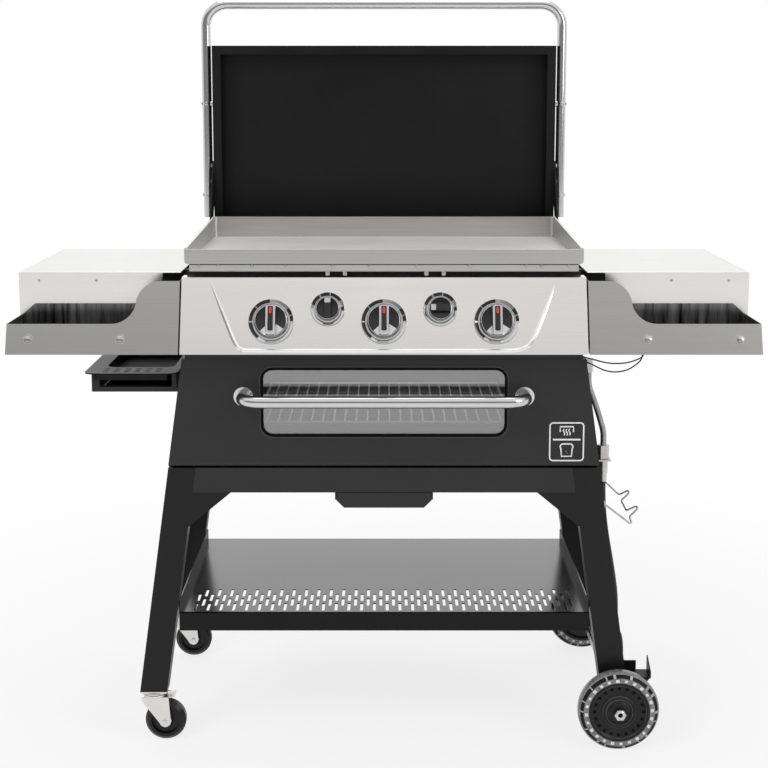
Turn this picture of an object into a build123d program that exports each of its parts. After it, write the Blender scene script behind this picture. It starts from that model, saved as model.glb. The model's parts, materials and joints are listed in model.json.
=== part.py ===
from build123d import *
import os
from math import atan2, cos, radians, sin, tan

# Gas griddle cart: a flat griddle with a hinged lid over a small gas oven, on a stand that leans
# out towards the floor, with a side table and a tool tray on each side.
# +X is the right of someone who stands in front of it, +Y is away from them, the floor is z = 0.
# All sizes are in millimetres.

# Sheet metal and clearances
sheet = 2.0                   # wall of stands, panels and housings
thin_sheet = 1.5              # wall of tables, trays and the oven liner
seat_gap = 0.3                # between a moving piece and what carries it
pin_clearance = 0.05          # radial, between a pin and its bore

# Main sizes, which the others follow
firebox_width = 712.0
stand_depth = 440.0           # front face of the front legs to back face of the rear legs
leg_splay = 8.13              # degrees that each side leans out
leg_top = 526.0
cabinet_height = 202.0        # cabinet above the legs
front = -stand_depth / 2
back = stand_depth / 2
lean = tan(radians(leg_splay))

# Stand
leg_width = 50.0
leg_depth = 38.0
rail_height = 46.0
rail_depth = 30.0
gusset_width = 70.0
gusset_height = 64.0
shelf_top = 252.0
shelf_flange = 36.0
shelf_side_rise = 22.0
slot_columns = 30
slot_rows = 4
slot_width = 6.0
slot_length = 20.0
slot_row_pitch = 27.0
slot_column_pitch = 23.0
slot_front_margin = 22.0

# Cabinet with the oven
cabinet_top = leg_top + cabinet_height
cabinet_margin = 8.0          # cabinet's side outside the burner box
cabinet_top_width = firebox_width + 2 * cabinet_margin
vent_columns = 9
vent_rows = 2
vent_pitch = 60.0
vent_length = 42.0
vent_width = 6.0
door_rail_gap = 3.0
door_bottom = leg_top + door_rail_gap
door_thickness = 18.0
door_proud = 4.0              # door face in front of the legs
door_gap = 0.5                # door back to the front frame
door_edge_round = 8.0
door_rib = 12.0               # solid round the window and beside the hinges of the hollow door
door_swing_relief = 7.0       # set back in the side panels where the door's lower edge swings in
oven_side_space = 116.0
oven_width = firebox_width - 2 * oven_side_space
oven_rise = 30.0              # oven floor above the legs
oven_bottom = leg_top + oven_rise
oven_head = 16.0              # oven ceiling below the cabinet's top
oven_height = cabinet_height - oven_rise - oven_head
oven_rear_space = 68.0
oven_depth = stand_depth - oven_rear_space
frame_lower_band = 6.0        # front frame below the oven mouth
window_margin = 21.0          # oven's side to the window's
window_width = oven_width - 2 * window_margin
window_rise = 33.0            # window above the oven floor
window_head = 3.0             # window below the oven ceiling
window_bottom = oven_bottom + window_rise
window_height = oven_height - window_rise - window_head
window_corner = 18.0
glass_thickness = 4.0
glass_lap = 5.0               # glass behind the door's skin round the window
hinge_pin_radius = 4.0
hinge_eye = 8.0
hinge_eye_gap = 1.0
hinge_plate = 6.0
hinge_plate_gap = 2.0
hinge_outset = 60.0           # hinge beyond the oven's side
hinge_foot = 18.0
hinge_arm = 10.0
door_handle_margin = 35.0     # handle's feet beyond the window
door_handle_span = window_width + 2 * door_handle_margin
door_handle_drop = 68.0       # handle below the cabinet's top
door_handle_height = cabinet_top - door_handle_drop
door_handle_reach = 50.0
door_handle_radius = 11.0
door_handle_bend = 32.0
rosette_radius = 17.0
rosette_height = 4.0
rack_height = 46.0            # rack above the oven floor
rack_rods = 22
rack_rod_radius = 1.6
rack_frame_radius = 2.6
rack_side_gap = 4.0
rack_end_gap = 8.0
runner_width = 14.0
runner_height = 6.0
oven_burner_radius = 9.0
oven_burner_feed = 7.2
oven_burner_drop = 20.0
oven_burner_length = 320.0

# Control panel
panel_gap = 17.0              # panel above the cabinet
panel_bottom = cabinet_top + panel_gap
panel_height = 131.0
panel_top = panel_bottom + panel_height
panel_overhang = 5.0          # panel's end outside the burner box
panel_width = firebox_width + 2 * panel_overhang
panel_reach = 34.0            # panel's upper edge in front of the burner box
panel_slope = 48.0            # lower edge in front of the upper one
big_bezel_radius = 40.5
big_knob_radius = 30.5
small_bezel_radius = 30.5
small_knob_radius = 21.0
bezel_height = 5.0
bezel_taper = 20.0            # degrees
knob_gap = 1.0
knob_skirt = 9.0
knob_skirt_taper = 8.0        # degrees
knob_depth = 24.0
knob_bar_width = 13.0
knob_bar_share = 0.9          # grip's length as a share of the knob's width
knob_bar_round = 5.9
knob_bar_taper = 6.0          # degrees
big_knob_rise = 56.0          # above the panel's lower edge
small_knob_rise = 77.0
big_knob_level = panel_bottom + big_knob_rise
small_knob_level = panel_bottom + small_knob_rise
stem_radius = 4.0
stem_gap = 2.0
manifold_radius = 10.0
manifold_setback = 42.0       # pipe axis behind the panel face
valve_radius = 11.0

# Burner box and griddle
firebox_rise = 10.0           # rim of the box above the panel
firebox_top = panel_top + firebox_rise
firebox_deep = 100.0
firebox_floor = firebox_top - firebox_deep
firebox_front_setback = 32.0
firebox_rear_setback = 4.0
firebox_front = front + firebox_front_setback
firebox_back = back - firebox_rear_setback
firebox_lip = 22.0
panel_top_front = firebox_front - panel_reach
panel_bottom_front = panel_top_front - panel_slope
griddle_width = firebox_width
griddle_depth = stand_depth
griddle_plate = 4.0
griddle_back_wall = 45.0      # above the underside of the plate
griddle_front_wall = 26.0
griddle_side_front = 28.0
griddle_corner = 6.0
griddle_frame_height = 14.0
griddle_bottom = firebox_top + griddle_frame_height
griddle_frame_side_inset = 8.0
griddle_frame_end_inset = 6.0
griddle_frame_width = griddle_width - 2 * griddle_frame_side_inset
griddle_frame_depth = griddle_depth - 2 * griddle_frame_end_inset
griddle_frame_bar = 24.0
burner_spacing = 200.0
burner_radius = 16.0
burner_length = 330.0
burner_drop = 32.0            # burner axis below the rim of the box
burner_foot = 12.0
burner_out = 8.0              # burner in front of the box

# Lid
lid_overhang = 6.0            # lid's side outside the burner box
lid_width = firebox_width + 2 * lid_overhang
lid_stand = 398.0             # upper edge above the griddle while the lid stands open
lid_front_edge = griddle_bottom + lid_stand
lid_extra = 10.0              # lid longer than the griddle
lid_length = griddle_depth + lid_extra
lid_depth = 42.0
lid_rim = 18.0
lid_edge_round = 12.0
lid_pivot_inset = 8.0         # pivot in front of the griddle's back
lid_pivot_drop = 38.0         # pivot below the griddle
lid_pivot_y = back - lid_pivot_inset
lid_pivot_z = griddle_bottom - lid_pivot_drop
lid_rim_offset = 86.0         # rim plane behind the pivot while open, above it while closed
lid_handle_radius = 10.0
lid_handle_rise = 96.0        # tube above the lid's upper edge
lid_handle_fall = 362.0       # tube's ends below it
lid_handle_top = lid_front_edge + lid_handle_rise
lid_handle_bottom = lid_front_edge - lid_handle_fall
lid_handle_bend = 45.0
lid_handle_gap = 4.0          # tube to the side of the lid
lid_spacer_radius = 7.0
lid_spacer_first = 121.0      # below the lid's upper edge
lid_spacer_second = 315.0
lid_spacer_high = lid_front_edge - lid_spacer_first
lid_spacer_low = lid_front_edge - lid_spacer_second
lid_arm_fall = 242.0
lid_arm_top = lid_front_edge - lid_arm_fall
lid_arm_width = 24.0
lid_arm_thickness = 3.0
lid_arm_margin = 4.0
lid_pivot_radius = 4.0
lid_pivot_head = 7.0
lid_pivot_head_height = 3.0
pivot_plate_side_gap = 0.5
pivot_plate_height = 126.0
pivot_plate_length = 52.0

# Side tables and tool trays
table_gap = 16.0              # table's inner end outside the burner box
table_width = 297.0
table_inner = firebox_width / 2 + table_gap
table_outer = table_inner + table_width
table_rise = 1.0              # table above the panel
table_top = panel_top + table_rise
table_setback = 34.0          # table's front behind the front of the burner box
table_overhang = 2.0          # table behind the rear legs
table_front = firebox_front + table_setback
table_back = back + table_overhang
table_skirt = 45.0
table_edge_round = 1.0
apron_drop = 125.0
apron_bottom = table_top - apron_drop
apron_inset = 36.0
apron_inner = table_inner + apron_inset
apron_slant = 3.0
bracket_tip = 10.0
bracket_front_inset = 54.0
bracket_rear_inset = 102.0
bracket_places = (table_front + bracket_front_inset, table_back - bracket_rear_inset)
bracket_arm = 220.0
bracket_height = 60.0
bracket_thickness = 3.0
tray_gap = 3.0                # tray beside the control panel
tray_inner = panel_width / 2 + tray_gap
tray_top_drop = 6.0
tray_top = panel_top - tray_top_drop
tray_rim_height = 52.0
tray_rim = panel_bottom + tray_rim_height
tray_curve_start = 34.0       # where the front's curve leaves its upper edge
tray_curve_end = 120.0        # where it reaches the rim
tray_curve_inner = tray_inner + tray_curve_start
tray_curve_outer = tray_inner + tray_curve_end
tray_row_spacing = 50.0
tray_lip = 24.0
tray_slot_length = 46.0
tray_slot_width = 5.0
tray_slot_pitch = 22.0
tray_slots = 11

# Grease pan beside the cabinet and drip drawer below it
pan_gap = 12.0                # pan outside the cabinet's upper edge
pan_width = 170.0
pan_inner = cabinet_top_width / 2 + pan_gap
pan_outer = pan_inner + pan_width
pan_drop = 30.0
pan_flange_top = cabinet_top - pan_drop
pan_setback = 16.0
pan_front = front + pan_setback
pan_length = 300.0
pan_flange_side = 30.0
pan_flange_front = 58.0
pan_flange_inner = 12.0
pan_front_lip = 12.0
pan_depth = 24.0
pan_corner = 18.0
pan_slot_columns = 6
pan_slot_rows = 3
pan_slot_length = 11.0
pan_slot_width = 5.0
pan_slot_pitch = 19.0
pan_slot_row_pitch = 14.0
pan_rail_width = 14.0
pan_rail_inset = 6.0
pan_side_gap = 2.0
pan_bar_gap = 2.0
pan_bar_height = 9.0
pan_bar_width = 12.0
drawer_width = 174.0
drawer_pan_width = 138.0
drawer_length = 300.0
drawer_pan_depth = 20.0
drawer_rail_height = 14.0
drawer_rail_lip = 12.0
drawer_side_gap = 1.0
drawer_handle_drop = 14.0
drawer_corner = 12.0

# Casters on the left
caster_wheel_radius = 38.0
caster_wheel_width = 24.0
caster_trail = 20.0
caster_axle_radius = 4.0
caster_stem_radius = 5.0
caster_plate_thickness = 3.0
caster_plate_corner = 4.0
caster_web = 6.0              # half the wheel's web, and its tread's shoulder
caster_race_radius = 19.0
caster_race_height = 9.0
fork_plate = 2.5
fork_boss = 12.0              # fork round the axle
fork_gap = 1.5                # wheel side to fork side
fork_crown_clearance = 6.0    # tread to the fork's crown

# Large wheels on the right
wheel_radius = 75.0
wheel_width = 40.0
wheel_hub_radius = 56.0
wheel_boss_radius = 18.0
wheel_hub_step = 4.0          # between the rings on the hub's face
wheel_axle_radius = 6.0
wheel_leg_gap = 5.0
wheel_leg_foot = 52.0         # lower end of the legs that carry the axle
axle_nut_radius = 11.0
axle_nut_height = 8.0
tyre_pockets = 26
tyre_pocket_depth = 5.0
tyre_pocket_size = 8.0
tyre_inset = 4.0              # tyre's side inside the hub's
tyre_shoulder = 5.0
tyre_shoulder_share = 0.75    # half widths of the tread's two steps
tyre_tread_share = 0.4

# Gas supply on the right
hose_setback = 70.0
hose_plane = front + hose_setback
hose_radius = 6.0
supply_radius = 5.5
lead_radius = 1.3
cord_share = 0.45             # part of the shorter run that a cord's corner may use
# Routes of the cords, as shares of their width and drop
supply_route = [(0, 0), (0, 0.18), (0.56, 0.5), (1, 0.82), (1, 1)]
hose_route = [(0, 0), (0, 0.13), (0.2, 0.33), (0.6, 0.55), (0.93, 0.76), (1, 0.89), (1, 1)]
lead_route = [(0, 0), (0, 0.36), (0.2, 0.62), (0.46, 1), (0.74, 0.96), (0.93, 0.6), (1, 0.34), (1, 0)]
leads = [(30.0, 22.0), (42.0, 40.0)]   # setback from the panel's lower edge and sag of each
lead_inset = 12.0
lead_span = 115.0
pad_thickness = 4.0
elbow_drop = 22.0
elbow_level = cabinet_top - elbow_drop
elbow_radius = 8.0
elbow_reach = 14.0
coupling_drop = 176.0
coupling_top = cabinet_top - coupling_drop
coupling_reach = 45.0
coupling_x = cabinet_top_width / 2 + coupling_reach
coupling_nut_radius = 11.0
coupling_nut_height = 26.0
coupling_tab = 3.0
coupling_tab_width = 26.0
coupling_body_radius = 9.0
coupling_body_height = 24.0
ferrule_radius = 7.5
ferrule_height = 16.0
hose_reach = 29.0
hose_fall = 347.0
hose_end_x = coupling_x + hose_reach
hose_end_z = coupling_top - hose_fall
regulator_radius = 30.0
regulator_thickness = 26.0
regulator_neck = 8.0
hand_nut_radius = 18.0
hand_nut_height = 34.0

# Tank bracket and hook
tank_plate_width = 46.0
tank_plate_level = 124.0
tank_plate_lip = 30.0
tank_plate_flange = 12.0
tank_lip_front = 12.0         # the lip is lower in front than at its rear
tank_tab_width = 24.0
tank_tab_height = 20.0
hook_wire_radius = 1.8
hook_bend = 4.0
hook_pad = 12.0
hook_drop = 28.0              # front end below the rail
hook_rise = 12.0              # rear end above the rail's lower face
hook_out = 80.0
hook_span = 82.0
hook_fall = 48.0
# Corners of the hook's wire, as shares of its reach out, its length along the stand and its fall
hook_route = [
    (0.725, 0.195, -1.0),
    (0.65, 0.268, -0.667),
    (1.0, 0.317, -0.125),
    (0.6, 0.415, -0.5),
    (0.525, 0.707, -0.25),
    (0.875, 0.78, 0.292),
    (0.5, 0.854, -0.083),
]

door_face = front - door_proud
door_back = door_face + door_thickness
door_hinge_y = door_back - door_thickness / 3
door_hinge_z = door_bottom + door_thickness * 2 / 3
frame_face = door_back + door_gap
frame_back = frame_face + sheet
front_most = door_face - door_handle_reach - door_handle_radius
rear_most = lid_pivot_y + lid_rim_offset + lid_depth
frame_shift = -(front_most + rear_most) / 2   # puts the origin midway between front and rear
oven_top = oven_bottom + oven_height
caster_height = 2 * caster_wheel_radius + fork_crown_clearance + fork_plate
caster_height = caster_height + seat_gap + caster_race_height + caster_plate_thickness

os.makedirs("parts", exist_ok=True)


def save(builder, name):
    """Bring a finished piece into the shared frame, label it and write its STEP file."""
    builder.part.position = (0, frame_shift, 0)
    builder.part.label = name
    export_step(builder.part, f"parts/{name}.step")


def half_width(level):
    """Half the width of the stand and cabinet at a height, out to their outer faces."""
    return cabinet_top_width / 2 + (cabinet_top - level) * lean


def front_plane(depth):
    """Drawing plane seen from the front: x is +X, y is +Z, extrusions run towards -Y."""
    return Plane.XZ.offset(-depth)


def side_plane(across):
    """Drawing plane seen from the right: x is +Y, y is +Z, extrusions run towards +X."""
    return Plane.YZ.offset(across)


def slanted_strip(side, low, high, outer_inset, inner_inset):
    """Corners of a strip that follows the lean of one side, between two insets from its outer face."""
    return [
        (side * (half_width(low) - outer_inset), low),
        (side * (half_width(high) - outer_inset), high),
        (side * (half_width(high) - inner_inset), high),
        (side * (half_width(low) - inner_inset), low),
    ]


def trapezoid(low, high, inset):
    """Corners of a panel that spans the cabinet between two heights, inset from both outer faces."""
    return [
        (-(half_width(low) - inset), low),
        (half_width(low) - inset, low),
        (half_width(high) - inset, high),
        (-(half_width(high) - inset), high),
    ]


# Large wheels turn on one axle through both right legs
axle_level = wheel_radius
axle_x = half_width(axle_level) - leg_width / 2
# Casters swivel under the middle of the left legs
caster_x = -(half_width(caster_height) - leg_width / 2)
leg_centres = {"front": front + leg_depth / 2, "rear": back - leg_depth / 2}


def make_leg(end, side_name):
    """Channel that leans out, open towards the inside of the cart."""
    side = -1 if side_name == "left" else 1
    low = caster_height if side_name == "left" else wheel_leg_foot
    far_face = front + leg_depth if end == "front" else back
    hollow_face = far_face if end == "front" else back - sheet
    with BuildPart() as leg:
        with BuildSketch(front_plane(far_face)):
            with BuildLine():
                Polyline(slanted_strip(side, low, leg_top, 0, leg_width), close=True)
            make_face()
        extrude(amount=leg_depth)
        with BuildSketch(front_plane(hollow_face)):
            with BuildLine():
                Polyline(slanted_strip(side, low, leg_top, sheet, leg_width - sheet), close=True)
            make_face()
        extrude(amount=leg_depth - sheet, mode=Mode.SUBTRACT)
        if side_name == "right":
            with Locations(Plane((axle_x, leg_centres[end], axle_level), z_dir=(0, -1, 0))):
                Hole(wheel_axle_radius + pin_clearance, depth=leg_depth)
    save(leg, f"leg_{end}_{side_name}")


for end in ("front", "rear"):
    for side_name in ("left", "right"):
        make_leg(end, side_name)

# Channels that join the legs under the cabinet, front and rear
rail_bottom = leg_top - rail_height
with BuildPart() as rails:
    for far_face, hollow_face in (
        (front + rail_depth, front + rail_depth),
        (back, back - sheet),
    ):
        with BuildSketch(front_plane(far_face)):
            with BuildLine():
                Polyline(trapezoid(rail_bottom, leg_top, leg_width), close=True)
            make_face()
        extrude(amount=rail_depth)
        with BuildSketch(front_plane(hollow_face)):
            with BuildLine():
                Polyline(trapezoid(rail_bottom + sheet, leg_top - sheet, leg_width), close=True)
            make_face()
        extrude(amount=rail_depth - sheet, mode=Mode.SUBTRACT)
save(rails, "cross_rails")

# Corner plates between the rails and the legs
with BuildPart() as gussets:
    for far_face in (front + sheet, back):
        for side in (-1, 1):
            corner_x = half_width(rail_bottom) - leg_width
            foot_level = rail_bottom - gusset_height
            foot_x = half_width(foot_level) - leg_width
            with BuildSketch(front_plane(far_face)):
                with BuildLine():
                    Polyline(
                        (side * corner_x, rail_bottom),
                        (side * (corner_x - gusset_width), rail_bottom),
                        (side * (foot_x - sheet), foot_level),
                        (side * foot_x, foot_level),
                        close=True,
                    )
                make_face()
            extrude(amount=sheet)
save(gussets, "leg_gussets")

# Shelf between the legs: slotted along its front, turned down there and turned up at the sides
shelf_half = half_width(shelf_top + shelf_side_rise) - leg_width - seat_gap
shelf_front = front + sheet
shelf_length = stand_depth - 2 * sheet
with BuildPart() as shelf:
    with BuildSketch(Plane.XY.offset(shelf_top - sheet)):
        Rectangle(2 * shelf_half, shelf_length)
    extrude(amount=sheet)
    with BuildSketch(front_plane(shelf_front + sheet)):
        with Locations((0, shelf_top - shelf_flange / 2)):
            Rectangle(2 * shelf_half, shelf_flange)
    extrude(amount=sheet)
    with BuildSketch(front_plane(-shelf_front)):
        with Locations((0, shelf_top - shelf_flange / 2)):
            Rectangle(2 * shelf_half, shelf_flange)
    extrude(amount=sheet)
    for side in (-1, 1):
        with BuildSketch(front_plane(-shelf_front)):
            with Locations((side * (shelf_half - sheet / 2), shelf_top + shelf_side_rise / 2)):
                Rectangle(sheet, shelf_side_rise)
        extrude(amount=shelf_length)
    with BuildSketch(Plane.XY.offset(shelf_top)):
        for row in range(slot_rows):
            row_y = shelf_front + slot_front_margin + row * slot_row_pitch
            stagger = (row % 2 - 0.5) * slot_column_pitch / 2
            with Locations((stagger, row_y)):
                with GridLocations(slot_column_pitch, 1, slot_columns, 1):
                    Rectangle(slot_width, slot_length)
    extrude(amount=-sheet, mode=Mode.SUBTRACT)
save(shelf, "bottom_shelf")


def caster_levels():
    """Heights of the caster's crown underside, crown top and race underside."""
    crown_low = 2 * caster_wheel_radius + fork_crown_clearance
    crown_high = crown_low + fork_plate
    return crown_low, crown_high, crown_high + seat_gap


crown_low, crown_high, race_low = caster_levels()

# Swivel plates with their ball races, under the left legs
with BuildPart() as caster_plates:
    for centre_y in leg_centres.values():
        with BuildSketch(Plane.XY.offset(race_low + caster_race_height)):
            with Locations((caster_x, centre_y)):
                RectangleRounded(leg_width, leg_depth, caster_plate_corner)
        extrude(amount=caster_plate_thickness)
        with BuildSketch(Plane.XY.offset(race_low)):
            with Locations((caster_x, centre_y)):
                Circle(caster_race_radius)
        extrude(amount=caster_race_height)
        with BuildSketch(Plane.XY.offset(race_low)):
            with Locations((caster_x, centre_y)):
                Circle(caster_stem_radius + pin_clearance)
        extrude(amount=caster_race_height, mode=Mode.SUBTRACT)
save(caster_plates, "caster_plates")

caster_wheel_x = caster_x + caster_trail
fork_half = caster_wheel_width / 2 + fork_gap


def make_caster(end):
    """Pressed fork with its stem, axle and brake tab, and the wheel that turns in it."""
    centre_y = leg_centres[end]
    with BuildPart() as fork:
        for face in (centre_y - fork_half, centre_y + fork_half + fork_plate):
            with BuildSketch(front_plane(face)):
                with BuildLine():
                    Polyline(
                        (caster_x - caster_race_radius, crown_high),
                        (caster_x + caster_race_radius, crown_high),
                        (caster_wheel_x + fork_boss, caster_wheel_radius),
                        (caster_wheel_x, caster_wheel_radius - fork_boss),
                        (caster_wheel_x - fork_boss, caster_wheel_radius),
                        (caster_x - caster_race_radius, crown_low - fork_plate),
                        close=True,
                    )
                make_face()
            extrude(amount=fork_plate)
        with BuildSketch(Plane.XY.offset(crown_low)):
            with Locations((caster_x, centre_y)):
                Rectangle(2 * caster_race_radius, 2 * fork_half)
        extrude(amount=fork_plate)
        with BuildSketch(Plane.XY.offset(crown_high)):
            with Locations((caster_x, centre_y)):
                Circle(caster_stem_radius)
        extrude(amount=caster_race_height)
        with BuildSketch(front_plane(centre_y + fork_half)):
            with Locations((caster_wheel_x, caster_wheel_radius)):
                Circle(caster_axle_radius)
        extrude(amount=2 * fork_half)
        # Brake tab beside the crown
        tab_start = caster_x + caster_race_radius
        with BuildSketch(front_plane(centre_y + fork_half)):
            with BuildLine():
                Polyline(
                    (tab_start, crown_high),
                    (tab_start + caster_race_radius, crown_high + fork_plate),
                    (tab_start + caster_race_radius, crown_high),
                    (tab_start, crown_low),
                    close=True,
                )
            make_face()
        extrude(amount=2 * fork_half)
    save(fork, f"caster_fork_{end}")
    with BuildPart() as wheel:
        with BuildSketch(Plane((caster_wheel_x, centre_y, caster_wheel_radius), (0, 1, 0), (1, 0, 0))):
            with BuildLine():
                tread = caster_wheel_width / 2
                bore = caster_axle_radius + pin_clearance
                shoulder = caster_wheel_radius - caster_web
                web = caster_web
                Polyline(
                    (-tread, bore), (-tread, 2 * bore), (-web, 2 * bore + web), (-web, shoulder - web),
                    (-tread, shoulder - web), (-tread, shoulder), (-web, caster_wheel_radius),
                    (web, caster_wheel_radius), (tread, shoulder), (tread, shoulder - web),
                    (web, shoulder - web), (web, 2 * bore + web), (tread, 2 * bore), (tread, bore),
                    close=True,
                )
            make_face()
        revolve(axis=Axis((caster_wheel_x, centre_y, caster_wheel_radius), (0, 1, 0)))
    save(wheel, f"caster_wheel_{end}")


for end in ("front", "rear"):
    make_caster(end)

# Axle with its nuts, through both right legs
wheel_inner = {"front": front - wheel_leg_gap, "rear": back + wheel_leg_gap}
axle_end = back + wheel_leg_gap + wheel_width + seat_gap + axle_nut_height
with BuildPart() as axle:
    with BuildSketch(front_plane(axle_end)):
        with Locations((axle_x, axle_level)):
            Circle(wheel_axle_radius)
    extrude(amount=2 * axle_end)
    for nut_face in (axle_end, -axle_end + axle_nut_height):
        with BuildSketch(front_plane(nut_face)):
            with Locations((axle_x, axle_level)):
                RegularPolygon(axle_nut_radius, 6)
        extrude(amount=axle_nut_height)
save(axle, "wheel_axle")


def make_wheel(end):
    """Moulded hub with stepped rings, and a tyre with a ring of pockets in each side."""
    outward = -1 if end == "front" else 1
    middle_y = wheel_inner[end] + outward * wheel_width / 2
    section = Plane((axle_x, middle_y, axle_level), (0, 1, 0), (1, 0, 0))
    spin = Axis((axle_x, middle_y, axle_level), (0, 1, 0))
    half = wheel_width / 2
    bore = wheel_axle_radius + pin_clearance
    with BuildPart() as hub:
        with BuildSketch(section):
            with BuildLine():
                boss = wheel_boss_radius
                step = wheel_hub_step
                Polyline(
                    (-half, bore), (-half, boss), (-half + step, boss + step),
                    (-half + step, wheel_hub_radius / 2), (-half + 2 * step, wheel_hub_radius / 2 + step),
                    (-half + 2 * step, wheel_hub_radius - 2 * step), (-half + step, wheel_hub_radius - step),
                    (-half + step, wheel_hub_radius), (half - step, wheel_hub_radius),
                    (half - step, wheel_hub_radius - step), (half - 2 * step, wheel_hub_radius - 2 * step),
                    (half - 2 * step, wheel_hub_radius / 2 + step), (half - step, wheel_hub_radius / 2),
                    (half - step, boss + step), (half, boss), (half, bore),
                    close=True,
                )
            make_face()
        revolve(axis=spin)
    save(hub, f"wheel_{end}_hub")
    with BuildPart() as tyre:
        with BuildSketch(section):
            with BuildLine():
                crown = half - tyre_inset
                upper = crown * tyre_shoulder_share
                tread = crown * tyre_tread_share
                shoulder = wheel_radius - tyre_shoulder
                Polyline(
                    (-crown, wheel_hub_radius), (-crown, shoulder - tyre_shoulder), (-upper, shoulder),
                    (-tread, wheel_radius), (tread, wheel_radius), (upper, shoulder),
                    (crown, shoulder - tyre_shoulder), (crown, wheel_hub_radius),
                    close=True,
                )
            make_face()
        revolve(axis=spin)
        pocket_radius = (wheel_hub_radius + shoulder) / 2
        for face_y in (middle_y - crown, middle_y + crown - tyre_pocket_depth):
            with BuildSketch(Plane((axle_x, face_y + tyre_pocket_depth, axle_level), (1, 0, 0), (0, -1, 0))):
                with PolarLocations(pocket_radius, tyre_pockets):
                    Rectangle(tyre_pocket_size, tyre_pocket_size)
            extrude(amount=tyre_pocket_depth, mode=Mode.SUBTRACT)
    save(tyre, f"wheel_{end}_tyre")


for end in ("front", "rear"):
    make_wheel(end)

# Side panels run up from inside the leg channels and turn in at the top, against the burner box
firebox_half = firebox_width / 2
panel_end = back - sheet


def make_side_panel(side_name):
    """Sheet that follows the lean, with a flange along its upper edge."""
    side = -1 if side_name == "left" else 1
    with BuildPart() as panel:
        with BuildSketch(front_plane(panel_end)):
            with BuildLine():
                Polyline(slanted_strip(side, rail_bottom, cabinet_top, sheet, 2 * sheet), close=True)
            make_face()
        extrude(amount=panel_end - frame_face)
        flange_outer = half_width(cabinet_top) - sheet
        with BuildSketch(front_plane(panel_end)):
            with Locations((side * (firebox_half + flange_outer) / 2, cabinet_top - sheet / 2)):
                Rectangle(flange_outer - firebox_half, sheet)
        extrude(amount=panel_end - frame_face)
        with BuildSketch(front_plane(frame_face + door_swing_relief)):
            with BuildLine():
                relief_top = door_hinge_z + door_thickness / 2
                Polyline(slanted_strip(side, leg_top, relief_top, 0, 3 * sheet), close=True)
            make_face()
        extrude(amount=door_swing_relief, mode=Mode.SUBTRACT)
    save(panel, f"side_panel_{side_name}")


for side_name in ("left", "right"):
    make_side_panel(side_name)

# Cabinet floor on the legs and rails, turned up into the back panel, which has two rows of vents
floor_front = door_back + door_edge_round
with BuildPart() as cabinet_back:
    with BuildSketch(front_plane(back)):
        with BuildLine():
            Polyline(trapezoid(leg_top, cabinet_top, 0), close=True)
        make_face()
        with Locations((0, (leg_top + cabinet_top) / 2)):
            with GridLocations(vent_pitch, vent_pitch, vent_columns, vent_rows):
                SlotOverall(vent_length, vent_width, mode=Mode.SUBTRACT)
    extrude(amount=sheet)
    with BuildSketch(front_plane(back - sheet)):
        with BuildLine():
            Polyline(trapezoid(leg_top, leg_top + sheet, 2 * sheet), close=True)
        make_face()
    extrude(amount=back - sheet - floor_front)
save(cabinet_back, "cabinet_back")

# Frame round the oven mouth, behind the door
mouth_low = oven_bottom - frame_lower_band
with BuildPart() as oven_frame:
    with BuildSketch(front_plane(frame_back)):
        with BuildLine():
            Polyline(trapezoid(mouth_low, cabinet_top - sheet, 2 * sheet), close=True)
        make_face()
        with Locations((0, (oven_bottom + oven_top) / 2)):
            Rectangle(oven_width, oven_height, mode=Mode.SUBTRACT)
    extrude(amount=sheet)
save(oven_frame, "oven_front_frame")

# Oven liner: an open-fronted box with a runner for the rack along each side
oven_back = frame_back + oven_depth
oven_middle = (oven_bottom + oven_top) / 2
rack_level = oven_bottom + rack_height
with BuildPart() as liner:
    with BuildSketch(front_plane(oven_back + thin_sheet)):
        with Locations((0, oven_middle)):
            Rectangle(oven_width + 2 * thin_sheet, oven_height + 2 * thin_sheet)
    extrude(amount=oven_depth + thin_sheet)
    with BuildSketch(front_plane(oven_back)):
        with Locations((0, oven_middle)):
            Rectangle(oven_width, oven_height)
    extrude(amount=oven_depth, mode=Mode.SUBTRACT)
    for side in (-1, 1):
        with BuildSketch(front_plane(oven_back)):
            with Locations((side * (oven_width - runner_width) / 2, rack_level - runner_height / 2)):
                Rectangle(runner_width, runner_height)
        extrude(amount=oven_depth)
save(liner, "oven_liner")

# Wire rack on the runners: thin rods front to back, welded through a heavier frame
rack_half = oven_width / 2 - rack_side_gap
rack_front = frame_back + rack_end_gap
rack_length = oven_depth - 2 * rack_end_gap
rack_z = rack_level + rack_frame_radius
with BuildPart() as rack:
    for side in (-1, 1):
        with BuildSketch(front_plane(rack_front + rack_length)):
            with Locations((side * (rack_half - rack_frame_radius), rack_z)):
                Circle(rack_frame_radius)
        extrude(amount=rack_length)
    for bar_y in (rack_front + rack_frame_radius, rack_front + rack_length - rack_frame_radius):
        with BuildSketch(side_plane(-rack_half + rack_frame_radius)):
            with Locations((bar_y, rack_z)):
                Circle(rack_frame_radius)
        extrude(amount=2 * (rack_half - rack_frame_radius))
    rod_pitch = 2 * rack_half / (rack_rods + 1)
    with BuildSketch(front_plane(rack_front + rack_length - rack_frame_radius)):
        with Locations((0, rack_z)):
            with GridLocations(rod_pitch, 1, rack_rods, 1):
                Circle(rack_rod_radius)
    extrude(amount=rack_length - 2 * rack_frame_radius)
save(rack, "oven_rack")

# Oven burners: a bar under the ceiling for browning and one along the floor, hung from the back wall
with BuildPart() as oven_burners:
    for level in (oven_top - oven_burner_drop, oven_bottom + oven_burner_drop):
        with BuildSketch(side_plane(-oven_burner_length / 2)):
            with Locations((frame_back + oven_depth / 2, level)):
                Circle(oven_burner_radius)
        extrude(amount=oven_burner_length)
        with BuildSketch(front_plane(oven_back)):
            with Locations((0, level)):
                Circle(oven_burner_feed)
        extrude(amount=oven_depth / 2)
save(oven_burners, "oven_burners")

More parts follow.
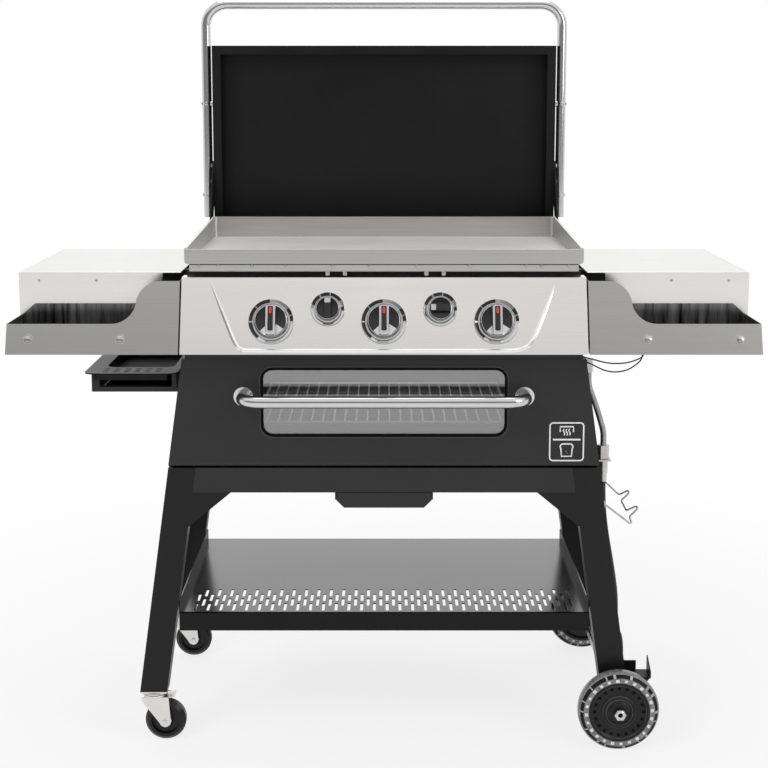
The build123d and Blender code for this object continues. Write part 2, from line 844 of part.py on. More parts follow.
# Door: a hollow pressing, open at its back, with a window and a notch for each hinge
hinge_x = oven_width / 2 + hinge_outset
hinge_notch = hinge_plate + 2 * hinge_plate_gap
notch_reach = hinge_eye + hinge_eye_gap
notch_top = door_hinge_z + notch_reach
handle_half = door_handle_span / 2
window_middle = window_bottom + window_height / 2
pocket_low = door_bottom + door_edge_round + sheet
glass_border = 2 * glass_lap
rib_border = glass_border + 2 * door_rib
with BuildPart() as door:
    with BuildSketch(front_plane(door_back)):
        with BuildLine():
            Polyline(trapezoid(door_bottom, cabinet_top, 0), close=True)
        make_face()
    extrude(amount=door_thickness)
    bottom_edges = door.edges().filter_by(Axis.X).group_by(Axis.Z)[0]
    fillet(bottom_edges, door_edge_round)
    with BuildSketch(front_plane(door_back)):
        with BuildLine():
            Polyline(trapezoid(pocket_low, cabinet_top - 2 * sheet, 2 * sheet), close=True)
        make_face()
        with Locations((0, window_middle)):
            RectangleRounded(
                window_width + rib_border,
                window_height + rib_border,
                window_corner + rib_border / 2,
                mode=Mode.SUBTRACT,
            )
        for side in (-1, 1):
            with Locations((side * hinge_x, (door_bottom + notch_top + door_rib) / 2)):
                Rectangle(hinge_notch + 2 * door_rib, notch_top + door_rib - door_bottom, mode=Mode.SUBTRACT)
            with Locations((side * handle_half, door_handle_height)):
                Circle(rosette_radius + sheet, mode=Mode.SUBTRACT)
    extrude(amount=door_thickness - sheet, mode=Mode.SUBTRACT)
    with BuildSketch(front_plane(door_back)):
        with Locations((0, window_middle)):
            RectangleRounded(window_width, window_height, window_corner)
    extrude(amount=door_thickness, mode=Mode.SUBTRACT)
    with BuildSketch(front_plane(door_back)):
        with Locations((0, window_middle)):
            RectangleRounded(
                window_width + glass_border, window_height + glass_border, window_corner + glass_lap
            )
    extrude(amount=door_thickness - sheet, mode=Mode.SUBTRACT)
    for side in (-1, 1):
        with BuildSketch(front_plane(door_back)):
            with Locations((side * hinge_x, (door_bottom + notch_top) / 2)):
                Rectangle(hinge_notch, notch_top - door_bottom)
        extrude(amount=door_back - door_hinge_y + notch_reach, mode=Mode.SUBTRACT)
        with BuildSketch(side_plane(side * hinge_x - hinge_notch)):
            with Locations((door_hinge_y, door_hinge_z)):
                Circle(hinge_pin_radius)
        extrude(amount=2 * hinge_notch)
save(door, "oven_door")

# Eyes that carry the door, standing on the cabinet floor
floor_top = leg_top + sheet
foot_front = floor_front + seat_gap
foot_height = door_hinge_z + hinge_pin_radius - floor_top
with BuildPart() as door_hinges:
    for side in (-1, 1):
        with BuildSketch(side_plane(side * hinge_x - hinge_plate / 2)):
            with Locations((foot_front + hinge_foot / 2, floor_top + foot_height / 2)):
                Rectangle(hinge_foot, foot_height)
            with Locations(((door_hinge_y + foot_front + hinge_foot) / 2, door_hinge_z)):
                Rectangle(foot_front + hinge_foot - door_hinge_y, hinge_arm)
            with Locations((door_hinge_y, door_hinge_z)):
                Circle(hinge_eye)
                Circle(hinge_pin_radius + pin_clearance, mode=Mode.SUBTRACT)
        extrude(amount=hinge_plate)
save(door_hinges, "door_hinges")

# Glass behind the door's skin
with BuildPart() as glass:
    with BuildSketch(front_plane(door_face + sheet + glass_thickness)):
        with Locations((0, window_middle)):
            RectangleRounded(
                window_width + glass_border - 2 * seat_gap,
                window_height + glass_border - 2 * seat_gap,
                window_corner + glass_lap - seat_gap,
            )
    extrude(amount=glass_thickness)
save(glass, "door_glass")

# Door handle: a tube bent back at both ends into round rosettes
with BuildPart() as door_handle:
    with BuildLine() as handle_line:
        FilletPolyline(
            (-handle_half, door_face, door_handle_height),
            (-handle_half, door_face - door_handle_reach, door_handle_height),
            (handle_half, door_face - door_handle_reach, door_handle_height),
            (handle_half, door_face, door_handle_height),
            radius=door_handle_bend,
        )
    with BuildSketch(Plane((-handle_half, door_face, door_handle_height), z_dir=(0, -1, 0))):
        Circle(door_handle_radius)
    sweep(path=handle_line.line)
    for side in (-1, 1):
        with BuildSketch(front_plane(door_face)):
            with Locations((side * handle_half, door_handle_height)):
                Circle(rosette_radius)
        extrude(amount=rosette_height)
save(door_handle, "door_handle")

# Burner box: four walls, a floor and a lip round the top
firebox_length = firebox_back - firebox_front
firebox_y = (firebox_back + firebox_front) / 2
firebox_low = cabinet_top - 2 * sheet
burner_level = firebox_top - burner_drop
burner_places = (-burner_spacing, 0, burner_spacing)
with BuildPart() as firebox:
    with BuildSketch(Plane.XY.offset(firebox_low)):
        with Locations((0, firebox_y)):
            Rectangle(firebox_width, firebox_length)
            Rectangle(firebox_width - 2 * sheet, firebox_length - 2 * sheet, mode=Mode.SUBTRACT)
    extrude(amount=firebox_top - firebox_low)
    with BuildSketch(Plane.XY.offset(firebox_floor)):
        with Locations((0, firebox_y)):
            Rectangle(firebox_width - sheet, firebox_length - sheet)
    extrude(amount=sheet)
    with BuildSketch(Plane.XY.offset(firebox_top - sheet)):
        with Locations((0, firebox_y)):
            Rectangle(firebox_width - sheet, firebox_length - sheet)
            Rectangle(
                firebox_width - 2 * firebox_lip, firebox_length - 2 * firebox_lip, mode=Mode.SUBTRACT
            )
    extrude(amount=sheet)
    with BuildSketch(front_plane(firebox_front + sheet)):
        with Locations(*((place, burner_level) for place in burner_places)):
            Circle(burner_radius + pin_clearance)
    extrude(amount=sheet, mode=Mode.SUBTRACT)
save(firebox, "firebox")

# Griddle burners: tubes through the front wall of the box, each on a foot at its far end
burner_start = firebox_front - sheet - burner_out
burner_foot_height = burner_level - firebox_floor - sheet
with BuildPart() as burners:
    for place in burner_places:
        with BuildSketch(front_plane(burner_start + burner_length)):
            with Locations((place, burner_level)):
                Circle(burner_radius)
        extrude(amount=burner_length)
        with BuildSketch(front_plane(burner_start + burner_length)):
            with Locations((place, firebox_floor + sheet + burner_foot_height / 2)):
                Rectangle(burner_radius, burner_foot_height)
        extrude(amount=burner_foot)
save(burners, "griddle_burners")

# Frame that the griddle stands on, and the griddle: a plate with four upstands, highest at the back
with BuildPart() as griddle_frame:
    with BuildSketch(Plane.XY.offset(firebox_top)):
        Rectangle(griddle_frame_width, griddle_frame_depth)
        Rectangle(
            griddle_frame_width - 2 * griddle_frame_bar,
            griddle_frame_depth - 2 * griddle_frame_bar,
            mode=Mode.SUBTRACT,
        )
    extrude(amount=griddle_bottom - firebox_top)
save(griddle_frame, "griddle_frame")

griddle_front = -griddle_depth / 2
griddle_rear = griddle_depth / 2
griddle_high = griddle_bottom + griddle_back_wall
with BuildPart() as griddle:
    with BuildSketch(side_plane(-griddle_width / 2)):
        with BuildLine():
            Polyline(
                (griddle_front, griddle_bottom),
                (griddle_rear, griddle_bottom),
                (griddle_rear, griddle_high),
                (griddle_rear - griddle_plate, griddle_high),
                (griddle_front + griddle_plate, griddle_bottom + griddle_side_front),
                (griddle_front + griddle_plate, griddle_bottom + griddle_front_wall),
                (griddle_front, griddle_bottom + griddle_front_wall),
                close=True,
            )
        make_face()
    extrude(amount=griddle_width)
    lower_corners = griddle.edges().filter_by(Axis.Y).group_by(Axis.Z)[0]
    fillet(lower_corners, griddle_corner)
    with BuildSketch(Plane.XY.offset(griddle_bottom + griddle_plate)):
        RectangleRounded(
            griddle_width - 2 * griddle_plate, griddle_depth - 2 * griddle_plate, griddle_corner
        )
    extrude(amount=griddle_back_wall, mode=Mode.SUBTRACT)
save(griddle, "griddle_plate")

# Control panel: a folded sheet whose face leans forward at the bottom, closed by a cheek at each end
panel_tilt = atan2(panel_top_front - panel_bottom_front, panel_top - panel_bottom)
panel_normal = (0, -cos(panel_tilt), sin(panel_tilt))


def panel_face(level):
    """Depth of the panel's face at a height."""
    return panel_top_front - (panel_top - level) * tan(panel_tilt)


def panel_plane(across, level, out):
    """Drawing plane parallel to the panel, with its origin a distance out from the face."""
    origin = (across, panel_face(level) - out * cos(panel_tilt), level + out * sin(panel_tilt))
    return Plane(origin, x_dir=(1, 0, 0), z_dir=panel_normal)


# Each control: place across, height, bezel radius, knob radius, turn of its grip in degrees
small_knob_x = burner_spacing / 2
controls = {
    "knob_griddle_left": (-burner_spacing, big_knob_level, big_bezel_radius, big_knob_radius, 0),
    "knob_griddle_centre": (0, big_knob_level, big_bezel_radius, big_knob_radius, 0),
    "knob_griddle_right": (burner_spacing, big_knob_level, big_bezel_radius, big_knob_radius, 0),
    "knob_oven_left": (-small_knob_x, small_knob_level, small_bezel_radius, small_knob_radius, 0),
    "knob_oven_right": (small_knob_x, small_knob_level, small_bezel_radius, small_knob_radius, 90),
}
stem_hole = stem_radius + stem_gap
face_inset = sheet / cos(panel_tilt)
with BuildPart() as control_panel:
    with BuildSketch(side_plane(-panel_width / 2)):
        with BuildLine():
            Polyline(
                (panel_top_front, panel_top),
                (panel_bottom_front, panel_bottom),
                (firebox_front, panel_bottom),
                (firebox_front, panel_top),
                close=True,
            )
        make_face()
    extrude(amount=panel_width)
    with BuildSketch(side_plane(-panel_width / 2 + sheet)):
        with BuildLine():
            Polyline(
                (panel_face(panel_top - sheet) + face_inset, panel_top - sheet),
                (panel_face(panel_bottom + sheet) + face_inset, panel_bottom + sheet),
                (firebox_front, panel_bottom + sheet),
                (firebox_front, panel_top - sheet),
                close=True,
            )
        make_face()
    extrude(amount=panel_width - 2 * sheet, mode=Mode.SUBTRACT)
    for across, level, bezel_radius, knob_radius, turn in controls.values():
        with BuildSketch(panel_plane(across, level, 0)):
            Circle(stem_hole)
        extrude(amount=-2 * sheet, mode=Mode.SUBTRACT)
save(control_panel, "control_panel")

# Dished bezels round the controls
with BuildPart() as bezels:
    for across, level, bezel_radius, knob_radius, turn in controls.values():
        with BuildSketch(panel_plane(across, level, 0)):
            Circle(bezel_radius)
            Circle(stem_hole, mode=Mode.SUBTRACT)
        extrude(amount=sheet)
        with BuildSketch(panel_plane(across, level, sheet)):
            Circle(bezel_radius)
            Circle((bezel_radius + knob_radius) / 2, mode=Mode.SUBTRACT)
        extrude(amount=bezel_height - sheet, taper=bezel_taper)
save(bezels, "knob_bezels")

# Gas pipe across the panel with a valve and stem behind each control
manifold_level = (big_knob_level + small_knob_level) / 2
pipe_plane = panel_plane(0, manifold_level, -manifold_setback)
knob_base = sheet + knob_gap
knob_bore = knob_depth / 2
with BuildPart() as manifold:
    with BuildSketch(side_plane(-panel_width / 2 + sheet)):
        with Locations((pipe_plane.origin.Y, pipe_plane.origin.Z)):
            Circle(manifold_radius)
    extrude(amount=panel_width - 2 * sheet)
    for across, level, bezel_radius, knob_radius, turn in controls.values():
        with BuildSketch(panel_plane(across, level, -manifold_setback)):
            Circle(valve_radius)
        extrude(amount=manifold_setback - 2 * sheet)
        with BuildSketch(panel_plane(across, level, -2 * sheet)):
            Circle(stem_radius)
        extrude(amount=2 * sheet + knob_base + knob_bore - seat_gap)
save(manifold, "gas_manifold")


def make_knob(name):
    """Round skirt with a bar grip across it and a blind bore for the valve stem."""
    across, level, bezel_radius, knob_radius, turn = controls[name]
    with BuildPart() as knob:
        with BuildSketch(panel_plane(across, level, knob_base)):
            Circle(knob_radius)
        extrude(amount=knob_skirt, taper=knob_skirt_taper)
        with BuildSketch(panel_plane(across, level, knob_base + knob_skirt)):
            with Locations(Rotation(0, 0, turn)):
                RectangleRounded(knob_bar_width, 2 * knob_bar_share * knob_radius, knob_bar_round)
        extrude(amount=knob_depth - knob_skirt, taper=knob_bar_taper)
        with BuildSketch(panel_plane(across, level, knob_base)):
            Circle(stem_radius + pin_clearance)
        extrude(amount=knob_bore, mode=Mode.SUBTRACT)
    save(knob, name)


for name in controls:
    make_knob(name)

# Lid, standing open: a shallow pressed shell with its rim turned in
lid_half = lid_width / 2
lid_rim_y = lid_pivot_y + lid_rim_offset
lid_back = lid_rim_y + lid_depth
lid_middle = lid_front_edge - lid_length / 2
with BuildPart() as lid_hollow:
    with BuildSketch(front_plane(lid_back - sheet)):
        with Locations((0, lid_middle)):
            Rectangle(lid_width - 2 * sheet, lid_length - 2 * sheet)
    extrude(amount=lid_depth - 2 * sheet)
    fillet(lid_hollow.edges().group_by(Axis.Y)[-1], lid_edge_round - sheet)
with BuildPart() as lid:
    with BuildSketch(front_plane(lid_back)):
        with Locations((0, lid_middle)):
            Rectangle(lid_width, lid_length)
    extrude(amount=lid_depth)
    fillet(lid.edges().group_by(Axis.Y)[-1], lid_edge_round)
    add(lid_hollow.part, mode=Mode.SUBTRACT)
    with BuildSketch(front_plane(lid_rim_y + sheet)):
        with Locations((0, lid_middle)):
            Rectangle(lid_width - 2 * lid_rim, lid_length - 2 * lid_rim)
    extrude(amount=sheet, mode=Mode.SUBTRACT)
save(lid, "lid")

# Arms from the lid's sides down to its pivots
with BuildPart() as lid_arms:
    for start in (-lid_half - lid_arm_thickness, lid_half):
        with BuildSketch(side_plane(start)):
            with BuildLine():
                Polyline(
                    (lid_pivot_y - lid_arm_width / 2, lid_pivot_z - lid_arm_width / 2),
                    (lid_pivot_y + lid_arm_width / 2, lid_pivot_z - lid_arm_width / 2),
                    (lid_back - lid_edge_round, lid_arm_top - 2 * lid_arm_width),
                    (lid_back - lid_edge_round, lid_arm_top),
                    (lid_rim_y + lid_arm_margin, lid_arm_top),
                    (lid_pivot_y - lid_arm_width / 2, lid_pivot_z + lid_arm_width / 2),
                    close=True,
                )
            make_face()
            with Locations((lid_pivot_y, lid_pivot_z)):
                Circle(lid_pivot_radius + pin_clearance, mode=Mode.SUBTRACT)
        extrude(amount=lid_arm_thickness)
save(lid_arms, "lid_arms")

# Plates on the burner box and griddle that carry the lid's pivots
pivot_plate_top = griddle_bottom + griddle_front_wall
with BuildPart() as lid_hinges:
    for side in (-1, 1):
        plate_thickness = lid_half - firebox_half - pivot_plate_side_gap
        plate_start = firebox_half if side > 0 else -firebox_half - plate_thickness
        with BuildSketch(side_plane(plate_start)):
            with Locations((griddle_rear - pivot_plate_length / 2, pivot_plate_top - pivot_plate_height / 2)):
                RectangleRounded(pivot_plate_length, pivot_plate_height, lid_arm_margin)
        extrude(amount=plate_thickness)
        pin_length = pivot_plate_side_gap + lid_arm_thickness + seat_gap
        pin_start = firebox_half + plate_thickness
        with BuildSketch(side_plane(side * pin_start)):
            with Locations((lid_pivot_y, lid_pivot_z)):
                Circle(lid_pivot_radius)
        extrude(amount=side * pin_length)
        with BuildSketch(side_plane(side * (pin_start + pin_length))):
            with Locations((lid_pivot_y, lid_pivot_z)):
                Circle(lid_pivot_head)
        extrude(amount=side * lid_pivot_head_height)
save(lid_hinges, "lid_hinge_plates")

# Lid handle: one bent tube round three sides of the lid, held off its sides by spacers
handle_x = lid_half + lid_handle_gap + lid_handle_radius
handle_y = lid_rim_y + lid_depth / 2
tube_top = lid_handle_top - lid_handle_radius
with BuildPart() as lid_handle:
    with BuildLine() as tube_line:
        FilletPolyline(
            (-handle_x, handle_y, lid_handle_bottom),
            (-handle_x, handle_y, tube_top),
            (handle_x, handle_y, tube_top),
            (handle_x, handle_y, lid_handle_bottom),
            radius=lid_handle_bend,
        )
    with BuildSketch(Plane.XY.offset(lid_handle_bottom)):
        with Locations((-handle_x, handle_y)):
            Circle(lid_handle_radius)
    sweep(path=tube_line.line)
    for side in (-1, 1):
        for level, foot in ((lid_spacer_high, lid_half), (lid_spacer_low, lid_half + lid_arm_thickness)):
            with BuildSketch(side_plane(side * foot)):
                with Locations((handle_y, level)):
                    Circle(lid_spacer_radius)
            extrude(amount=side * (handle_x - foot))
save(lid_handle, "lid_handle")

# Side tables: folded tops open towards the grill, each with a deep apron behind its tool tray
table_length = table_back - table_front
table_middle = (table_front + table_back) / 2


def make_table(name, side):
    """Table on one side: top, outer, front and rear skirts and the apron."""
    width = table_outer - table_inner
    across = side * (table_inner + table_outer) / 2
    with BuildPart() as table:
        with BuildSketch(Plane.XY.offset(table_top - table_skirt)):
            with Locations((across, table_middle)):
                Rectangle(width, table_length)
        extrude(amount=table_skirt)
        fillet(table.edges().group_by(Axis.Z)[-1], table_edge_round)
        with BuildSketch(Plane.XY.offset(table_top - table_skirt)):
            with Locations((across - side * thin_sheet, table_middle)):
                Rectangle(width, table_length - 2 * thin_sheet)
        extrude(amount=table_skirt - thin_sheet, mode=Mode.SUBTRACT)
        with BuildSketch(front_plane(table_front + thin_sheet)):
            with BuildLine():
                Polyline(
                    (side * table_inner, table_top - table_skirt),
                    (side * apron_inner, table_top - table_skirt),
                    (side * (apron_inner - apron_slant), table_top - thin_sheet),
                    (side * table_inner, table_top - thin_sheet),
                    close=True,
                )
            make_face()
        extrude(amount=thin_sheet, mode=Mode.SUBTRACT)
        with BuildSketch(front_plane(table_front + thin_sheet)):
            with BuildLine():
                Polyline(
                    (side * table_outer, table_top - table_skirt),
                    (side * table_outer, apron_bottom),
                    (side * (apron_inner + apron_slant), apron_bottom),
                    (side * apron_inner, table_top - table_skirt),
                    close=True,
                )
            make_face()
        extrude(amount=thin_sheet)
    save(table, name)


make_table("left_table", -1)
make_table("right_table", 1)

# Brackets under the tables, bearing on the burner box
bracket_top = table_top - thin_sheet
with BuildPart() as table_brackets:
    for side in (-1, 1):
        for depth in bracket_places:
            with BuildSketch(front_plane(depth)):
                with BuildLine():
                    Polyline(
                        (side * firebox_half, bracket_top),
                        (side * (firebox_half + bracket_arm), bracket_top),
                        (side * (firebox_half + bracket_arm), bracket_top - bracket_tip),
                        (side * firebox_half, bracket_top - bracket_height),
                        close=True,
                    )
                make_face()
            extrude(amount=bracket_thickness)
save(table_brackets, "table_brackets")

# Tool trays: front in the plane of the control panel, its top edge sweeping up beside the panel
tray_outer = table_outer
tray_middle = (tray_inner + tray_outer) / 2
tray_top_v = (tray_top - panel_bottom) / cos(panel_tilt)
tray_rim_v = (tray_rim - panel_bottom) / cos(panel_tilt)
tray_curve_x = (tray_curve_inner + tray_curve_outer) / 2
tray_curve_v = (tray_rim_v + tray_top_v) / 2


def make_tray(name, side):
    """Tool tray on one side, with a slotted floor and a lip against the apron."""
    with BuildPart() as tray:
        with BuildSketch(panel_plane(0, panel_bottom, 0)):
            with BuildLine():
                Line((side * tray_inner, 0), (side * tray_outer, 0))
                Line((side * tray_outer, 0), (side * tray_outer, tray_rim_v))
                Line((side * tray_outer, tray_rim_v), (side * tray_curve_outer, tray_rim_v))
                lower = TangentArc(
                    (side * tray_curve_outer, tray_rim_v),
                    (side * tray_curve_x, tray_curve_v),
                    tangent=(-side, 0),
                )
                TangentArc(
                    (side * tray_curve_x, tray_curve_v),
                    (side * tray_curve_inner, tray_top_v),
                    tangent=lower % 1,
                )
                Line((side * tray_curve_inner, tray_top_v), (side * tray_inner, tray_top_v))
                Line((side * tray_inner, tray_top_v), (side * tray_inner, 0))
            make_face()
        extrude(amount=-thin_sheet)
        floor_length = table_front - panel_bottom_front - thin_sheet
        with BuildSketch(Plane.XY.offset(panel_bottom)):
            with Locations((side * tray_middle, table_front - floor_length / 2)):
                Rectangle(tray_outer - tray_inner, floor_length)
            for row in (-1, 1):
                row_y = table_front - floor_length / 2 + row * tray_row_spacing / 2
                for column in range(tray_slots):
                    place = column - (tray_slots - 1) / 2 + row / 4
                    with Locations((side * tray_middle + place * tray_slot_pitch, row_y)):
                        SlotOverall(tray_slot_length, tray_slot_width, rotation=90, mode=Mode.SUBTRACT)
        extrude(amount=thin_sheet)
        for wall, level in ((tray_inner, tray_top), (tray_outer - thin_sheet, tray_rim)):
            start = side * wall if side > 0 else side * wall - thin_sheet
            with BuildSketch(side_plane(start)):
                with BuildLine():
                    Polyline(
                        (panel_face(panel_bottom) + thin_sheet, panel_bottom),
                        (table_front, panel_bottom),
                        (table_front, level),
                        (panel_face(level) + thin_sheet, level),
                        close=True,
                    )
                make_face()
            extrude(amount=thin_sheet)
        with BuildSketch(front_plane(table_front)):
            with Locations((side * tray_middle, panel_bottom + tray_lip / 2)):
                Rectangle(tray_outer - tray_inner, tray_lip)
        extrude(amount=thin_sheet)
    save(tray, name)


make_tray("tool_tray_left", -1)
make_tray("tool_tray_right", 1)

# Grease pan on the left: a shallow pressed pan with a wide perforated flange at the front
pan_under = pan_flange_top - sheet
pan_x = -(pan_inner + pan_outer) / 2
bowl_left = -(pan_outer - pan_flange_side)
bowl_right = -(pan_inner + pan_flange_inner)
bowl_width = bowl_right - bowl_left
bowl_x = (bowl_left + bowl_right) / 2
bowl_front = pan_front + pan_flange_front
bowl_back = pan_front + pan_length - pan_flange_inner
bowl_y = (bowl_front + bowl_back) / 2
with BuildPart() as grease_pan:
    with BuildSketch(Plane.XY.offset(pan_under)):
        with Locations((pan_x, pan_front + pan_length / 2)):
            RectangleRounded(pan_width, pan_length, pan_corner)
        for row in range(pan_slot_rows):
            row_y = pan_front + pan_flange_front / 2 + (row - (pan_slot_rows - 1) / 2) * pan_slot_row_pitch
            for column in range(pan_slot_columns):
                shift = (column - (pan_slot_columns - 1) / 2) * pan_slot_pitch
                with Locations((pan_x + shift, row_y)):
                    SlotOverall(pan_slot_length, pan_slot_width, mode=Mode.SUBTRACT)
    extrude(amount=sheet)
    with BuildSketch(Plane.XY.offset(pan_flange_top - pan_depth)):
        with Locations((bowl_x, bowl_y)):
            RectangleRounded(bowl_width, bowl_back - bowl_front, pan_corner)
    extrude(amount=pan_depth)
    with BuildSketch(Plane.XY.offset(pan_flange_top - pan_depth + thin_sheet)):
        with Locations((bowl_x, bowl_y)):
            RectangleRounded(bowl_width - 2 * thin_sheet, bowl_back - bowl_front - 2 * thin_sheet, pan_corner)
    extrude(amount=pan_depth, mode=Mode.SUBTRACT)
    with BuildSketch(front_plane(pan_front + sheet)):
        with Locations((pan_x, pan_flange_top - pan_front_lip / 2)):
            Rectangle(pan_width - 2 * pan_corner, pan_front_lip)
    extrude(amount=sheet)
save(grease_pan, "grease_pan")

# Cradle for the grease pan: two runners on bars from the cabinet's side
runner_top = pan_under - seat_gap
runner_bottom = pan_flange_top - pan_depth - pan_bar_gap - pan_bar_height
bar_top = runner_bottom + pan_bar_height
outer_runner = bowl_left - pan_side_gap - pan_rail_width
inner_runner_width = pan_flange_inner - 2 * pan_side_gap
inner_runner = bowl_right + pan_side_gap
with BuildPart() as pan_cradle:
    for start, width in ((outer_runner, pan_rail_width), (inner_runner, inner_runner_width)):
        with BuildSketch(Plane.XY.offset(runner_bottom)):
            with Locations((start + width / 2, pan_front + pan_length / 2)):
                Rectangle(width, pan_length - 2 * pan_rail_inset)
        extrude(amount=runner_top - runner_bottom)
    for depth in (pan_front + pan_rail_inset, pan_front + pan_length - pan_rail_inset - pan_bar_width):
        with BuildSketch(front_plane(depth + pan_bar_width)):
            with BuildLine():
                Polyline(
                    (outer_runner, runner_bottom),
                    (sheet - half_width(runner_bottom), runner_bottom),
                    (sheet - half_width(bar_top), bar_top),
                    (outer_runner, bar_top),
                    close=True,
                )
            make_face()
        extrude(amount=pan_bar_width)
save(pan_cradle, "grease_pan_cradle")

# Drip tray under the cabinet: hangs by its flange in two folded rails
drawer_lip_top = rail_bottom - drawer_rail_height + thin_sheet
drawer_under = drawer_lip_top + seat_gap
drawer_front = front
drawer_y = drawer_front + drawer_length / 2
with BuildPart() as drip_tray:
    with BuildSketch(Plane.XY.offset(drawer_under)):
        with Locations((0, drawer_y)):
            Rectangle(drawer_width, drawer_length)
    extrude(amount=sheet)
    with BuildSketch(Plane.XY.offset(drawer_under - drawer_pan_depth)):
        with Locations((0, drawer_y + drawer_corner / 2)):
            RectangleRounded(drawer_pan_width, drawer_length - drawer_corner, drawer_corner)
    extrude(amount=drawer_pan_depth + sheet)
    with BuildSketch(Plane.XY.offset(drawer_under - drawer_pan_depth + thin_sheet)):
        with Locations((0, drawer_y + drawer_corner / 2)):
            RectangleRounded(
                drawer_pan_width - 2 * thin_sheet,
                drawer_length - drawer_corner - 2 * thin_sheet,
                drawer_corner,
            )
    extrude(amount=drawer_pan_depth + sheet, mode=Mode.SUBTRACT)
    plate_top = rail_bottom - seat_gap
    plate_bottom = rail_bottom - drawer_rail_height - drawer_handle_drop
    with BuildSketch(front_plane(drawer_front)):
        with Locations((0, (plate_top + plate_bottom) / 2)):
            Rectangle(drawer_width, plate_top - plate_bottom)
        chamfer(vertices().group_by(Axis.Y)[0], drawer_handle_drop)
    extrude(amount=sheet)
save(drip_tray, "drip_tray")

rail_web = drawer_width / 2 + drawer_side_gap
with BuildPart() as drip_rails:
    for side in (-1, 1):
        with BuildSketch(front_plane(back - sheet)):
            with BuildLine():
                Polyline(
                    (side * (rail_web - drawer_rail_lip), rail_bottom),
                    (side * (rail_web + thin_sheet), rail_bottom),
                    (side * (rail_web + thin_sheet), rail_bottom - drawer_rail_height),
                    (side * (rail_web - drawer_rail_lip), rail_bottom - drawer_rail_height),
                    (side * (rail_web - drawer_rail_lip), drawer_lip_top),
                    (side * rail_web, drawer_lip_top),
                    (side * rail_web, rail_bottom - thin_sheet),
                    (side * (rail_web - drawer_rail_lip), rail_bottom - thin_sheet),
                    close=True,
                )
            make_face()
        extrude(amount=back - front - 2 * sheet)
save(drip_rails, "drip_tray_rails")

# Gas supply: tube from the cabinet's side down to a coupling, then a hose with its regulator


def corner_radii(points):
    """Radius for each corner of a cord's route, as large as its shorter run allows."""
    radii = []
    for before, corner, after in zip(points, points[1:], points[2:]):
        first = Vector(*corner) - Vector(*before)
        second = Vector(*after) - Vector(*corner)
        half_turn = radians(first.get_angle(second)) / 2
        radii.append(cord_share * min(first.length, second.length) / tan(half_turn))
    return radii


def make_cord(name, routes, radius):
    """Round cords swept along their routes."""
    with BuildPart() as cord:
        for points in routes:
            with BuildLine() as route:
                FilletPolyline(*points, radius=corner_radii(points))
            with BuildSketch(Plane(points[0], z_dir=Vector(*points[1]) - Vector(*points[0]))):
                Circle(radius)
            sweep(path=route.line)
    save(cord, name)


elbow_x = half_width(elbow_level) - sheet + elbow_reach
elbow_bottom = elbow_level - 2 * elbow_radius
tab_level = coupling_top - coupling_nut_height - coupling_tab
body_bottom = tab_level - coupling_body_height
hose_top = body_bottom - ferrule_height


def lean_pad(inset, middle, height, depth, length):
    """Block on the slanted right side, on the outer face or a sheet's thickness inside it."""
    low = middle - height / 2
    high = middle + height / 2
    with BuildPart() as pad:
        with BuildSketch(front_plane(depth + length / 2)):
            with BuildLine():
                Polyline(
                    (half_width(low) - inset, low),
                    (half_width(low) - inset + pad_thickness, low),
                    (half_width(high) - inset + pad_thickness, high),
                    (half_width(high) - inset, high),
                    close=True,
                )
            make_face()
        extrude(amount=length)
    return pad.part


elbow_start = half_width(elbow_level - elbow_radius) - sheet + seat_gap
with BuildPart() as hose_fittings:
    add(lean_pad(sheet, elbow_level, 2 * elbow_radius, hose_plane, 2 * elbow_radius))
    with BuildSketch(side_plane(elbow_start)):
        with Locations((hose_plane, elbow_level)):
            Circle(elbow_radius)
    extrude(amount=elbow_x - elbow_start)
    with BuildSketch(Plane.XY.offset(elbow_bottom)):
        with Locations((elbow_x, hose_plane)):
            RegularPolygon(elbow_radius, 6)
    extrude(amount=elbow_level + elbow_radius - elbow_bottom)
    with BuildSketch(Plane.XY.offset(tab_level + coupling_tab)):
        with Locations((coupling_x, hose_plane)):
            RegularPolygon(coupling_nut_radius, 6)
    extrude(amount=coupling_nut_height)
    with BuildSketch(front_plane(hose_plane + coupling_tab_width / 2)):
        with BuildLine():
            Polyline(
                (half_width(tab_level) - sheet, tab_level),
                (coupling_x + coupling_tab_width / 2, tab_level),
                (coupling_x + coupling_tab_width / 2, tab_level + coupling_tab),
                (half_width(tab_level + coupling_tab) - sheet, tab_level + coupling_tab),
                close=True,
            )
        make_face()
    extrude(amount=coupling_tab_width)
    with BuildSketch(Plane.XY.offset(body_bottom)):
        with Locations((coupling_x, hose_plane)):
            Circle(coupling_body_radius)
    extrude(amount=coupling_body_height)
    with BuildSketch(Plane.XY.offset(hose_top)):
        with Locations((coupling_x, hose_plane)):
            Circle(ferrule_radius)
    extrude(amount=ferrule_height)
save(hose_fittings, "hose_fittings")

supply_points = []
for share_across, share_down in supply_route:
    across = elbow_x + share_across * (coupling_x - elbow_x)
    supply_points.append((across, hose_plane, elbow_bottom - share_down * (elbow_bottom - coupling_top)))
make_cord("supply_tube", [supply_points], supply_radius)

hose_points = []
for share_across, share_down in hose_route:
    across = coupling_x + share_across * (hose_end_x - coupling_x)
    hose_points.append((across, hose_plane, hose_top - share_down * (hose_top - hose_end_z)))
make_cord("gas_hose", [hose_points], hose_radius)

